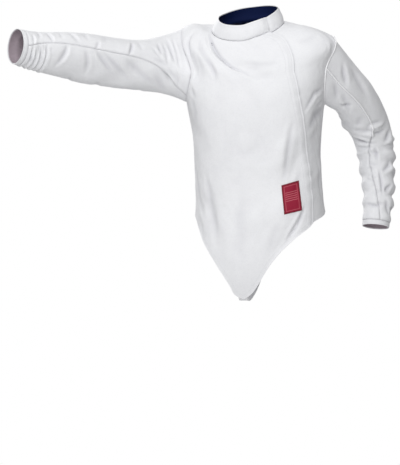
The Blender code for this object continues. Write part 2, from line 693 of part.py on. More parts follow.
def body_panel(name, grid, armholes, lift, finish, jacket, sides):
    """A panel of the body. Its cloth is mitred to the sleeves and to the collar."""
    turn, level = grid[..., 0], grid[..., 1]
    normals = body_normals(turn, level)
    height = lift(turn, level)[..., None]
    outer = body_skin(turn, level) + normals * height
    through_cloth = normals.copy()
    for border, sleeve, half in armholes:
        ends = (180, 0) if half == "front" else (180, 360)
        way = armhole_mitre(sleeve, np.linspace(*ends, ARMHOLE_STEPS + 1))
        through_cloth[SIDE_STEPS:, border] = way
    at_neck = level[-1] == NECK_LEVEL
    through_cloth[-1, at_neck] = neck_mitre(turn[-1, at_neck])
    outer = drawn_in(outer, SEAM_GAP, sides)
    cloth(name, outer, outer - through_cloth * CLOTH, finish, jacket)
    return outer, normals


def no_lift(turn, level):
    return 0 * turn


def add_zip(panel, finish, jacket):
    """Zip tape along the left front's inner edge, between it and the flap that covers it."""
    points, normals = (grid[1:, :2] for grid in panel)
    under = points + normals * LAYER_GAP
    cloth("zip", under + normals * ZIP_THICKNESS, under, finish, jacket)


RAY_START = 0.02            # how far off the skin a ray down to a panel starts


def spots_on(panel, turn, level):
    """Spots on a panel's own faces at places of the body, and the directions out of them."""
    points = panel[0]
    corners = [tuple(point) for point in points.reshape(-1, 3)]
    faces = [[i * points.shape[1] + j for i, j in corner_places] for corner_places in triangles(points)]
    tree = BVHTree.FromPolygons(corners, faces)
    out = body_normals(turn, level)
    start = body_skin(turn, level) + out * RAY_START
    spots = np.zeros(start.shape)
    for i, j in np.ndindex(turn.shape):
        spots[i, j] = tree.ray_cast(Vector(start[i, j]), Vector(-out[i, j]))[0]
    return spots, out


# The label's corners on the right front, as its rows from the bottom up.
Corner = namedtuple("Corner", "left_turn left_level right_turn right_level")
LABEL = [Corner(30.0, -0.473, 46.0, -0.463), Corner(29.0, -0.401, 45.5, -0.389)]
LABEL_COLUMNS = 8
LABEL_ROWS = 11


def add_label(panel, finish, jacket):
    """A sewn label, laid on the right front's own faces."""
    across, up = np.meshgrid(np.linspace(0, 1, LABEL_COLUMNS), np.linspace(0, 1, LABEL_ROWS))
    low, high = LABEL
    turn = ((low.left_turn * (1 - up) + high.left_turn * up) * (1 - across)
            + (low.right_turn * (1 - up) + high.right_turn * up) * across)
    level = ((low.left_level * (1 - up) + high.left_level * up) * (1 - across)
             + (low.right_level * (1 - up) + high.right_level * up) * across)
    spots, out = spots_on(panel, turn, level)
    under = spots + out * LABEL_LIFT
    cloth("label", under + out * LABEL_THICKNESS, under, finish, jacket)


STRAP_COLUMNS = 5
STRAP_END_ROWS = 3


def strap_end(panel, end):
    """Points of a strap's end under a panel's cloth, as rows from the bottom up."""
    step = np.linalg.norm(body_form(end.turn + 1, end.low) - body_form(end.turn, end.low))
    half = end.width / 2 / step
    turns = end.turn + np.linspace(-half, half, STRAP_COLUMNS)
    turn, level = np.meshgrid(turns, np.linspace(end.low, end.high, STRAP_END_ROWS))
    spots, out = spots_on(panel, turn, level)
    return spots - out * (CLOTH + LAYER_GAP)


def add_strap(front_panel, back_panel, finish, jacket):
    """The strap between the legs, from inside the tail to inside the back hem."""
    front = strap_end(front_panel, STRAP_FRONT)[::-1]
    back = strap_end(back_panel, STRAP_BACK)[:, ::-1]
    first, last = front[-1], back[0]
    first_handle = first + unit(front[-1] - front[-2]) * STRAP_REACH
    last_handle = last - unit(back[1] - back[0]) * STRAP_REACH
    t = np.linspace(0, 1, STRAP_STEPS + 1)[1:-1, None, None]
    ends = (1 - t) ** 3 * first + t ** 3 * last
    free = ends + 3 * (1 - t) ** 2 * t * first_handle + 3 * (1 - t) * t ** 2 * last_handle
    outer = np.concatenate([front, free, back])
    out = unit(np.cross(np.gradient(outer, axis=0), np.gradient(outer, axis=1)))
    cloth("crotch_strap", outer, outer - out * STRAP_THICKNESS, finish, jacket)


def add_body(finish, jacket):
    """The three body panels, kept for what lies on them."""
    right = body_panel("front_right", right_front_grid(), [(0, RIGHT, "front")], flap_lift, finish, jacket,
                       ("left", "top"))
    left = body_panel("front_left", left_front_grid(), [(-1, LEFT, "front")], no_lift, finish, jacket,
                      ("right", "top"))
    back = body_panel("back", back_grid(), [(0, LEFT, "back"), (-1, RIGHT, "back")], no_lift, finish, jacket,
                      ("left", "right", "top"))
    return right, left, back


def sleeve_alongs(sleeve):
    return joined(*(np.linspace(start, end, count) for start, end, count in sleeve.rows))


def seam_column(sleeve, name):
    """The armhole column that a sleeve seam starts from."""
    return round(getattr(sleeve.arm[0], name) * SLEEVE_COLUMNS / 360)


def panel_turns(sleeve, part, alongs):
    """Turns of a sleeve panel's columns, row by row: evenly spread from seam to seam."""
    first, last = ("back_seam", "front_seam") if part == "upper" else ("front_seam", "back_seam")
    count = (seam_column(sleeve, last) - seam_column(sleeve, first)) % SLEEVE_COLUMNS
    start = column(sleeve.arm, first, alongs)[:, None]
    end = column(sleeve.arm, last, alongs)[:, None]
    if part == "upper":
        start = start - 360
    return start + (end - start) * np.linspace(0, 1, count + 1)


def add_sleeve(sleeve, word, finish, jacket):
    alongs = sleeve_alongs(sleeve)
    for part in ("upper", "under"):
        turn = panel_turns(sleeve, part, alongs)
        along = alongs[:, None] + 0 * turn
        normals = sleeve_normals(sleeve, turn, along)
        normals[0] = armhole_mitre(sleeve, turn[0])
        outer = drawn_in(sleeve_skin(sleeve, turn, along), SEAM_GAP, ("left", "right", "bottom", "top"))
        cloth(f"sleeve_{word}_{part}", outer, outer - normals * CLOTH, finish, jacket)


def cuff_rings(sleeve, alongs):
    """Turns and distances of whole rings round the wrist, in step with the sleeve's columns."""
    upper = panel_turns(sleeve, "upper", alongs)
    under = panel_turns(sleeve, "under", alongs)
    turn = np.concatenate([upper, under[:, 1:-1]], axis=1)
    return turn, alongs[:, None] + 0 * turn


def add_cuff(sleeve, word, finish, jacket):
    end = sleeve.arm[-1].along
    turn, along = cuff_rings(sleeve, np.array([end - CUFF_BAND, end - CUFF_BAND / 2, end]))
    outer = drawn_in(sleeve_skin(sleeve, turn, along), SEAM_GAP, ("bottom",))
    normals = sleeve_normals(sleeve, turn, along)
    cloth(f"cuff_{word}", outer, outer - normals * CLOTH, finish, jacket, closed=True)


CUFF_LINING_ROWS = [0.095, 0.070, 0.045, 0.026, 0.016, 0.002]   # distances above the wrist
CUFF_LINING_CURVE = 0.012   # it draws in from the cuff over this length
CUFF_LINING_CLEAR = 1.6     # and so far, in heights of the gathers


def add_cuff_lining(sleeve, word, finish, jacket):
    """Lining inside the wrist, drawn in above the cuff so that the gathers clear it."""
    end = sleeve.arm[-1].along
    turn, along = cuff_rings(sleeve, end - np.array(CUFF_LINING_ROWS))
    clear = CUFF_LINING_CLEAR * max(gather.height for gather in sleeve.gathers)
    depth = CLOTH + LAYER_GAP + clear * smooth((end - CUFF_BAND - along) / CUFF_LINING_CURVE)
    normals = sleeve_form_normals(sleeve, turn, along)
    outer = sleeve_form(sleeve, turn, along) - normals * depth[..., None]
    cloth(f"cuff_lining_{word}", outer, outer - normals * LINING_CLOTH, finish, jacket, closed=True)


def blend_ring(one, other, share):
    return Ring(*(a + (b - a) * share for a, b in zip(one, other)))


def collar_form(turn, share):
    """The collar's outer face: its share runs from 0 at the neck seam to 1 at the top."""
    angle = np.radians(turn)
    out = np.stack([np.sin(angle), -np.cos(angle), 0 * angle], axis=-1)
    bulge = COLLAR_BULGE * np.sin(np.pi * share)
    return ring_points(turn, blend_ring(BODY[-1], COLLAR_TOP, share)) + out * bulge[..., None]


COLLAR_STEP = 0.02          # share of the collar's height either side of a place, for its slopes


def collar_normals(turn, share):
    return normals_of(collar_form, turn, share, COLLAR_STEP, 0.0, 1.0)


def neck_mitre(turn):
    return mitre(body_normals(turn, NECK_LEVEL + 0 * turn), collar_normals(turn, 0 * turn))


def collar_turns():
    """Turns of the collar's columns from the end that shows to the end under it, as on the panels."""
    outer_end = flap_turn(NECK_LEVEL)
    right = np.linspace(outer_end, -SHOULDER_TURN, RIGHT_NECK_STEPS + 1)
    back = np.linspace(-SHOULDER_TURN, SHOULDER_TURN - 360, BACK_NECK_STEPS + 1)
    left = np.linspace(SHOULDER_TURN - 360, outer_end - UNDERLAP_TURN - 360, LEFT_NECK_STEPS + 1)
    return joined(right, back, left)


COLLAR_SHARES = [0, 0.33, 0.67, 1.0]


def add_collar(finish, jacket):
    """A stand collar whose outer end laps over the left front."""
    turn, share = np.meshgrid(collar_turns(), COLLAR_SHARES)
    seam_level = NECK_LEVEL + 0 * turn[0]
    lift = flap_lift(turn, NECK_LEVEL + 0 * turn)[..., None]
    normals = collar_normals(turn, share)
    outer = collar_form(turn, share) + normals * lift
    outer[0] = body_skin(turn[0], seam_level) + body_normals(turn[0], seam_level) * lift[0]
    normals[0] = neck_mitre(turn[0])
    outer = drawn_in(outer, SEAM_GAP, ("bottom",))
    cloth("collar", outer, outer - normals * CLOTH, finish, jacket)


# The neck lining's rows under and over the neck seam. drop is a share of its reach below the
# seam, and slack is how far off the cloth it hangs.
NECK_LINING_DEEP = 0.045    # reach at the front and the back
NECK_LINING_SIDE = 0.017    # reach at the shoulders
NECK_LINING_SLIT = 3        # degrees between its ends
LowRow = namedtuple("LowRow", "drop slack")
HighRow = namedtuple("HighRow", "share slack")
NECK_LINING_LOW = [LowRow(1.0, 4.0 * MM), LowRow(0.5, 2.6 * MM)]
NECK_LINING_HIGH = [
    HighRow(0.0, 1.0 * MM),
    HighRow(0.33, 0.8 * MM),
    HighRow(0.66, 0.6 * MM),
    HighRow(0.96, 0.3 * MM),
]


def add_neck_lining(finish, jacket):
    """Lining inside the collar that reaches down over the neck seam."""
    inner_end = collar_turns()[-1]
    turns = np.linspace(inner_end + 360 - NECK_LINING_SLIT, inner_end, NECK_LINING_STEPS + 1)
    ahead = np.cos(np.radians(turns)) ** 2
    reach = NECK_LINING_DEEP * ahead + NECK_LINING_SIDE * (1 - ahead)
    low_turn, drop = np.meshgrid(turns, [row.drop for row in NECK_LINING_LOW])
    level = NECK_LEVEL - reach * drop
    turn, share = np.meshgrid(turns, [row.share for row in NECK_LINING_HIGH])
    upper_normals = collar_normals(turn, share)
    upper_normals[0] = neck_mitre(turns)
    points = np.concatenate([body_skin(low_turn, level), collar_form(turn, share)])
    normals = np.concatenate([body_normals(low_turn, level), upper_normals])
    slack = np.array([row.slack for row in NECK_LINING_LOW + NECK_LINING_HIGH])[:, None, None]
    outer = points - normals * (CLOTH + LAYER_GAP + slack)
    cloth("neck_lining", outer, outer - normals * LINING_CLOTH, finish, jacket)


def main():
    for old in list(bpy.data.objects):
        bpy.data.objects.remove(old)
    jacket = bpy.data.objects.new("jacket", None)
    bpy.context.scene.collection.objects.link(jacket)
    white = material("white_cloth", (0.80, 0.80, 0.82), 0.75)
    navy = material("navy_lining", (0.020, 0.028, 0.085), 0.8)
    grey = material("mauve_grey_lining", (0.30, 0.25, 0.29), 0.8)
    red = material("red_label", (0.40, 0.005, 0.03), 0.6)
    right_front, left_front, back = add_body(white, jacket)
    add_zip(left_front, white, jacket)
    add_label(right_front, red, jacket)
    add_strap(right_front, back, white, jacket)
    add_collar(white, jacket)
    add_neck_lining(navy, jacket)
    for sleeve, word in ((RIGHT, "right"), (LEFT, "left")):
        add_sleeve(sleeve, word, white, jacket)
        add_cuff(sleeve, word, white, jacket)
        add_cuff_lining(sleeve, word, grey, jacket)


main()
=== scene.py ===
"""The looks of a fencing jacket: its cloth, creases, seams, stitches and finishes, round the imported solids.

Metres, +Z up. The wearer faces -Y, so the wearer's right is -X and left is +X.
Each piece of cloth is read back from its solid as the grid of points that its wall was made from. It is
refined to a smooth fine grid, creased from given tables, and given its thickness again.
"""

import math
from collections import namedtuple

import bmesh
import bpy
import numpy as np
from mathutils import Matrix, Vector, noise
from mathutils.bvhtree import BVHTree


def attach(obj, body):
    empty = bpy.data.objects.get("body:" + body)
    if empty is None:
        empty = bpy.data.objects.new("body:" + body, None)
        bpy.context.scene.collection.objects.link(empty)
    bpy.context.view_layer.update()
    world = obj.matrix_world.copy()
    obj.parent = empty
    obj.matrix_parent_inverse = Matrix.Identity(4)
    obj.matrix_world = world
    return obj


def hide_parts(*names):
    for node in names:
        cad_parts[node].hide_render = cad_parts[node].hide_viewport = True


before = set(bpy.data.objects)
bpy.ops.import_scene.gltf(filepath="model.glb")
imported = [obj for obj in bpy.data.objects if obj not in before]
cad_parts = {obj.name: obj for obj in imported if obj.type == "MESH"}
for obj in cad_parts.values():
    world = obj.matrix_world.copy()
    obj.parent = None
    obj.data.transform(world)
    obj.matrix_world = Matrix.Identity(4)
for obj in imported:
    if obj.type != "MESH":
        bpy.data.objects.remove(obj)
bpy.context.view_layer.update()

MM = 0.001
MERGE = 0.02 * MM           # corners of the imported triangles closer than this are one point
WALL = 2.6 * MM             # an edge shorter than this runs through a wall, from face to face


def unit(v):
    return v / np.maximum(np.linalg.norm(v, axis=-1, keepdims=True), 1e-12)


def smooth(t):
    """A soft step from 0 to 1 as t goes from 0 to 1."""
    t = np.clip(t, 0, 1)
    return t * t * (3 - 2 * t)


def bell(t):
    return np.exp(-(t * t))


def run_of(line):
    """The length along a line up to each of its points."""
    return np.concatenate([[0], np.cumsum(np.linalg.norm(np.diff(line, axis=0), axis=-1))])


def read_line(line, run, at):
    """What a line's points give at these lengths along it."""
    return np.stack([np.interp(at, run, line[:, axis]) for axis in range(3)], axis=-1)


def close_points(line, spacing):
    """The same line with points about this far apart."""
    run = run_of(line)
    return read_line(line, run, np.linspace(0, run[-1], max(int(run[-1] / spacing), 2) + 1))


def as_mesh(name, build):
    """A finished bmesh as a mesh."""
    mesh = bpy.data.meshes.new(name)
    build.to_mesh(mesh)
    build.free()
    return mesh


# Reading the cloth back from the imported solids, whose walls were made from grids of points.


def outer_face(node):
    """The outer face of a node's wall, as a bmesh of its own."""
    build = bmesh.new()
    build.from_mesh(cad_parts[node].data)
    bmesh.ops.remove_doubles(build, verts=build.verts, dist=MERGE)
    rims = [face for face in build.faces if min(edge.calc_length() for edge in face.edges) < WALL]
    bmesh.ops.delete(build, geom=rims, context="FACES")
    unseen = set(build.faces)
    islands = []
    while unseen:
        island = [unseen.pop()]
        for face in island:
            for edge in face.edges:
                for other in edge.link_faces:
                    if other in unseen:
                        unseen.remove(other)
                        island.append(other)
        islands.append(island)
    islands.sort(key=lambda island: sum(face.calc_area() for face in island))
    spare = [face for island in islands[:-1] for face in island]
    bmesh.ops.delete(build, geom=spare, context="FACES")
    return build


def borders(build):
    """Each border's vertices in order, with the cloth on the left when seen from outside."""
    following = {}
    for edge in build.edges:
        if edge.is_boundary:
            corner = edge.link_loops[0]
            following[corner.vert] = corner.link_loop_next.vert
    rings = []
    while following:
        vertex = next(iter(following))
        ring = []
        while vertex in following:
            ring.append(vertex)
            vertex = following.pop(vertex)
        rings.append(ring)
    return rings


def places_of(vertices):
    return np.array([tuple(vertex.co) for vertex in vertices])


def far_corner(a, b, d):
    """The last corner of the grid cell with a and b on its near side and d over a."""
    for face in a.link_faces:
        if b in face.verts and d in face.verts:
            for other in b.link_faces:
                if d in other.verts and other is not face:
                    return next(v for v in other.verts if v is not b and v is not d)
    for face in a.link_faces:
        if b in face.verts:
            c = next(v for v in face.verts if v is not a and v is not b)
            if any(c in other.verts and d in other.verts for other in a.link_faces):
                return c
    return None


def panel_grid(node, columns, start):
    """A panel's grid of points. Its first row is the side nearest to start, left to right from outside."""
    build = outer_face(node)
    ring = max(borders(build), key=len)
    count = len(ring)
    rows = count // 2 - columns + 2
    places = places_of(ring)
    before = unit(places - np.roll(places, 1, axis=0))
    bend = 1 - np.sum(before * np.roll(before, -1, axis=0), axis=1)
    steps = np.array([0, columns - 1, columns + rows - 2, 2 * columns + rows - 3])
    best = int(np.argmax([bend[(k + steps) % count].sum() for k in range(count)]))
    tries = [best, (best + count // 2) % count]
    first = min(tries, key=lambda k: np.linalg.norm(np.roll(places, -k, axis=0)[:columns].mean(0) - start))
    ring = ring[first:] + ring[:first]
    grid = [ring[:columns]]
    for i in range(1, rows):
        row = [ring[-i]]
        for j in range(columns - 1):
            row.append(far_corner(grid[-1][j], grid[-1][j + 1], row[-1]))
        grid.append(row)
    points = np.array([places_of(row) for row in grid])
    build.free()
    return points


def ring_grid(node, start):
    """A tube's grid of points, closed by repeating its first column. Its first row is nearest to start."""
    build = outer_face(node)
    ring = min(borders(build), key=lambda r: np.linalg.norm(places_of(r).mean(0) - start))
    first = int(places_of(ring)[:, 2].argmax())
    grid = [ring[first:] + ring[:first]]
    done = set(ring)
    while True:
        row = grid[-1]
        beside = [edge.other_vert(row[0]) for edge in row[0].link_edges]
        beside = [vertex for vertex in beside if vertex not in done]
        if not beside:
            break
        above = [min(beside, key=lambda vertex: (vertex.co - row[0].co).length)]
        for j in range(len(row) - 1):
            above.append(far_corner(row[j], row[j + 1], above[-1]))
        grid.append(above)
        done.update(above)
    points = np.array([places_of(row + row[:1]) for row in grid])
    build.free()
    return points


# What each piece of cloth is made from. start is near its first row. Its edges are the first row, the
# last column, the last row and the first column. fine is the length before its last row that has
# close gathers. flat is the size it was cut to, and area its flat area where that isn't a rectangle.
Piece = namedtuple("Piece", "node columns start edges spacing fine thickness slot held flat area")
BELOW = np.array([0.0, 0.0, -1.0])
RIGHT_SHOULDER = np.array([-0.15, 0.0, -0.1])
LEFT_SHOULDER = np.array([0.2, 0.0, -0.1])
OUTER = 1.8 * MM
LINING = 1.0 * MM
STRAP = 1.6 * MM
BODY_SPACING = 3.1 * MM
SLEEVE_SPACING = 2.9 * MM
TRIM_SPACING = 2.2 * MM
LINING_SPACING = 3.0 * MM
LABEL_SPACING = 1.1 * MM
WHITE = "white_cloth"
NAVY = "navy_lining"
GREY = "mauve_grey_lining"
RED = "red_label"


def body_part(node, columns, edges, flat, area):
    return Piece(node, columns, BELOW, edges, BODY_SPACING, 0, OUTER, WHITE, "draped", flat, area)


def sleeve_part(node, columns, start, edges, fine, flat, area):
    return Piece(node, columns, start, edges, SLEEVE_SPACING, fine, OUTER, WHITE, "gathered", flat, area)


def wrist_part(node, start, edges, spacing, thickness, slot, flat, area):
    return Piece(node, 0, start, edges, spacing, 0, thickness, slot, "draped", flat, area)


PIECES = [
    body_part("front_right", 23, "hem flap seam felled", (0.50, 0.72), 0.200),
    body_part("front_left", 12, "hem felled seam plain", (0.25, 0.58), 0.088),
    body_part("back", 31, "hem felled seam felled", (0.50, 0.60), 0.237),
    sleeve_part("sleeve_right_upper", 16, RIGHT_SHOULDER, "seam sewn seam sewn", 0.085, (0.23, 0.50), 0.084),
    sleeve_part("sleeve_right_under", 8, RIGHT_SHOULDER, "seam sewn seam sewn", 0.085, (0.24, 0.50), 0.089),
    sleeve_part("sleeve_left_upper", 11, LEFT_SHOULDER, "seam sewn seam sewn", 0, (0.21, 0.55), 0.085),
    sleeve_part("sleeve_left_under", 13, LEFT_SHOULDER, "seam sewn seam sewn", 0, (0.22, 0.50), 0.068),
    wrist_part("cuff_right", RIGHT_SHOULDER, "seam none cuff none", TRIM_SPACING, OUTER, WHITE,
               (0.26, 0.013), None),
    wrist_part("cuff_left", LEFT_SHOULDER, "seam none cuff none", TRIM_SPACING, OUTER, WHITE,
               (0.218, 0.013), None),
    wrist_part("cuff_lining_right", RIGHT_SHOULDER, "plain none plain none", LINING_SPACING, LINING, GREY,
               (0.250, 0.093), None),
    wrist_part("cuff_lining_left", LEFT_SHOULDER, "plain none plain none", LINING_SPACING, LINING, GREY,
               (0.182, 0.096), None),
    Piece("collar", 44, BELOW, "neck lap collar plain", TRIM_SPACING, 0, OUTER, WHITE, "draped",
          (0.546, 0.038), None),
    Piece("neck_lining", 47, BELOW, "plain plain plain plain", LINING_SPACING, 0, LINING, NAVY, "draped",
          (0.557, 0.083), 0.044),
    Piece("label", 8, BELOW, "plain plain plain plain", LABEL_SPACING, 0, LINING, RED, "draped",
          (0.047, 0.074), None),
    Piece("crotch_strap", 5, BELOW, "plain strap plain strap", TRIM_SPACING, 0, STRAP, WHITE, "hung",
          (0.030, 0.377), None),
]

# How each kind of edge is sewn. dip is how far its border rolls in, or under 0 stands out. band is the
# width of doubled cloth along it and rise how far that stands up, and the stitches run at these distances
# from it. press is how far the edge of a lap lies down on the cloth under it. A tube has none at its sides.
Edge = namedtuple("Edge", "dip band rise stitches press", defaults=(0,))
EDGES = {
    "seam": Edge(0.9 * MM, 0, 0, (1.9 * MM,)),
    "sewn": Edge(0.9 * MM, 0, 0, (1.9 * MM,)),
    "felled": Edge(0.9 * MM, 8 * MM, 0.5 * MM, (1.9 * MM, 6.8 * MM)),
    "hem": Edge(-0.7 * MM, 11 * MM, 0.4 * MM, (9.6 * MM,)),
    "flap": Edge(-0.9 * MM, 22 * MM, 0.5 * MM, (4.2 * MM, 21 * MM), 2.5 * MM),
    "lap": Edge(0, 7 * MM, 0.3 * MM, (5.4 * MM,), 3.0 * MM),
    "neck": Edge(0.5 * MM, 0, 0, (1.9 * MM,)),
    "collar": Edge(0, 7 * MM, 0.3 * MM, (5.4 * MM,)),
    "cuff": Edge(0, 0, 0, (2.4 * MM,)),
    "strap": Edge(0, 0, 0, (2.6 * MM,)),
    "plain": Edge(0, 0, 0, ()),
    "none": Edge(0, 0, 0, ()),
}


# Smooth cloth through the coarse points.


SHARP_TURN = math.radians(40)   # lines that turn by more than this at a point have a corner there
SHARP_RUN = math.radians(15)


def curve(places, values, at, closed, corners):
    """Values at the given places on smooth curves through a table's rows."""
    steps = np.diff(places).reshape((-1,) + (1,) * (values.ndim - 1))
    secants = np.diff(values, axis=0) / steps
    middle = (secants[:-1] * steps[1:] + secants[1:] * steps[:-1]) / (steps[1:] + steps[:-1])
    change = (secants[:-1] - secants[1:]) / (steps[:-1] + steps[1:])
    forward = secants.copy()
    forward[:-1] += change * steps[:-1]
    backward = secants.copy()
    backward[1:] -= change * steps[1:]
    sharp = 0.0
    if corners:
        lean = np.sum(unit(secants[:-1]) * unit(secants[1:]), axis=-1, keepdims=True)
        sharp = smooth((np.arccos(np.clip(lean, -1, 1)) - SHARP_TURN) / SHARP_RUN)
    after, before = forward.copy(), backward.copy()
    after[1:] = middle + (forward[1:] - middle) * sharp
    before[:-1] = middle + (backward[:-1] - middle) * sharp
    if closed:
        joint = (secants[-1] * steps[0] + secants[0] * steps[-1]) / (steps[0] + steps[-1])
        after[0], before[-1] = joint, joint
    i = np.clip(np.searchsorted(places, at) - 1, 0, len(places) - 2)
    t = ((at - places[i]) / np.diff(places)[i]).reshape((-1,) + (1,) * (values.ndim - 1))
    rise = values[i + 1] - values[i]
    bend = after[i] * steps[i] - rise
    unbend = rise - before[i] * steps[i]
    return values[i] + t * rise + t * (1 - t) * ((1 - t) * bend + t * unbend)


def lengths_along(points):
    """Mean length of a grid's columns up to each of its rows."""
    steps = np.linalg.norm(np.diff(points, axis=0), axis=-1).mean(axis=1)
    return np.concatenate([[0], np.cumsum(steps)])


EDGE_MARKS = [0, 1.1 * MM, 2.4 * MM, 4.2 * MM]
FINE_SHARE = 0.6            # spacing in a stretch with close gathers, over the usual one


def stations(length, spacing, fine=0.0):
    """Places along a length, close together at both ends and in a last fine stretch."""
    margin = min(EDGE_MARKS[-1], length / 4)
    marks = np.array(EDGE_MARKS) * margin / EDGE_MARKS[-1]
    start, bend, end = margin, length - margin - fine, length - margin
    plain = np.linspace(start, bend, max(round((bend - start) / spacing), 1) + 1)[1:]
    close = np.linspace(bend, end, round(fine / (spacing * FINE_SHARE)) + 1)[1:]
    return np.concatenate([marks, plain, close, (length - marks[::-1])[1:]])


def grid_normals(points, closed):
    """Outward normals of a fine grid."""
    across = np.gradient(points, axis=1)
    if closed:
        across[:, 0] = across[:, -1] = (points[:, 1] - points[:, -2]) / 2
    return unit(np.cross(across, np.gradient(points, axis=0)))


class Cloth:
    """A piece of cloth as a fine grid: its places across and up in metres, its points and its normals."""

    def __init__(self, piece):
        self.piece = piece
        self.closed = piece.columns == 0
        coarse = ring_grid(piece.node, piece.start) if self.closed else panel_grid(*piece[:3])
        ups = lengths_along(coarse)
        acrosses = lengths_along(coarse.swapaxes(0, 1))
        corners = piece.start is BELOW and piece.slot == WHITE
        self.up = stations(ups[-1], piece.spacing, piece.fine)
        self.across = stations(acrosses[-1], piece.spacing)
        if self.closed:
            self.across = np.linspace(0, acrosses[-1], round(acrosses[-1] / piece.spacing) + 1)
        rows = curve(ups, coarse, self.up, False, corners)
        points = curve(acrosses, rows.swapaxes(0, 1), self.across, self.closed, corners)
        self.points = points.swapaxes(0, 1)
        self.normals = grid_normals(self.points, self.closed)
        self.painted_shade = np.zeros(self.points.shape[:2])
        self.edges = [EDGES[word] for word in piece.edges.split()]

    def at(self, u, v):
        """A point and a normal of the cloth at shares of its width and height."""
        across = np.interp(u * self.across[-1], self.across, np.arange(len(self.across)))
        up = np.interp(v * self.up[-1], self.up, np.arange(len(self.up)))
        j = np.minimum(across.astype(int), len(self.across) - 2)
        i = np.minimum(up.astype(int), len(self.up) - 2)
        s = (across - j)[..., None]
        t = (up - i)[..., None]
        found = []
        for grid in (self.points, self.normals):
            low = grid[i, j] * (1 - s) + grid[i, j + 1] * s
            high = grid[i + 1, j] * (1 - s) + grid[i + 1, j + 1] * s
            found.append(low * (1 - t) + high * t)
        return found[0], unit(found[1])

    def border(self, side, depth=0):
        """The grid lines along one edge: 0 bottom, 1 right, 2 top, 3 left, and so deep in from it."""
        return [
            self.points[depth],
            self.points[:, -1 - depth],
            self.points[-1 - depth],
            self.points[:, depth],
        ][side]


cloths = {piece.node: Cloth(piece) for piece in PIECES}


BATCH = 32                  # points of a line that are compared at once


def distances(points, line):
    """How far each point is from the nearest point of a line, which has close points."""
    found = np.full(points.shape[:-1], np.inf)
    for start in range(0, len(line), BATCH):
        gaps = np.linalg.norm(points[..., None, :] - line[start:start + BATCH], axis=-1)
        found = np.minimum(found, gaps.min(axis=-1))
    return found


FAR = 60 * MM               # distances from edges are only worked out this far in
LINE_STEP = 1.0 * MM        # spacing of an edge's points for its own cloth
SEAM_STEP = 2 * MM          # spacing of a seam's points for all the cloth near it
SPARSE = 10                 # one point in this many is enough to find what is near an edge


def edge_distance(cloth, side):
    """How far each point of a cloth is from one of its edges."""
    line = close_points(cloth.border(side), LINE_STEP)
    found = np.full(cloth.points.shape[:2], FAR)
    near = distances(cloth.points, line[::SPARSE]) < FAR
    found[near] = distances(cloth.points[near], line)
    return found


cloth_edges = {node: [edge_distance(cloth, side) for side in range(4)] for node, cloth in cloths.items()}


# Creases. Each runs from one place through a middle place to an end, in shares of the cloth's width and
# height. On a sleeve the width goes on from its first panel, 0 to 1, round its second, 1 to 2. Its width
# and depth are in millimetres: a depth under 0 is a trough and over 0 a ridge. fold is the share of the
# depth that rises beside it: over 0 on the left of its way and under 0 on the right.


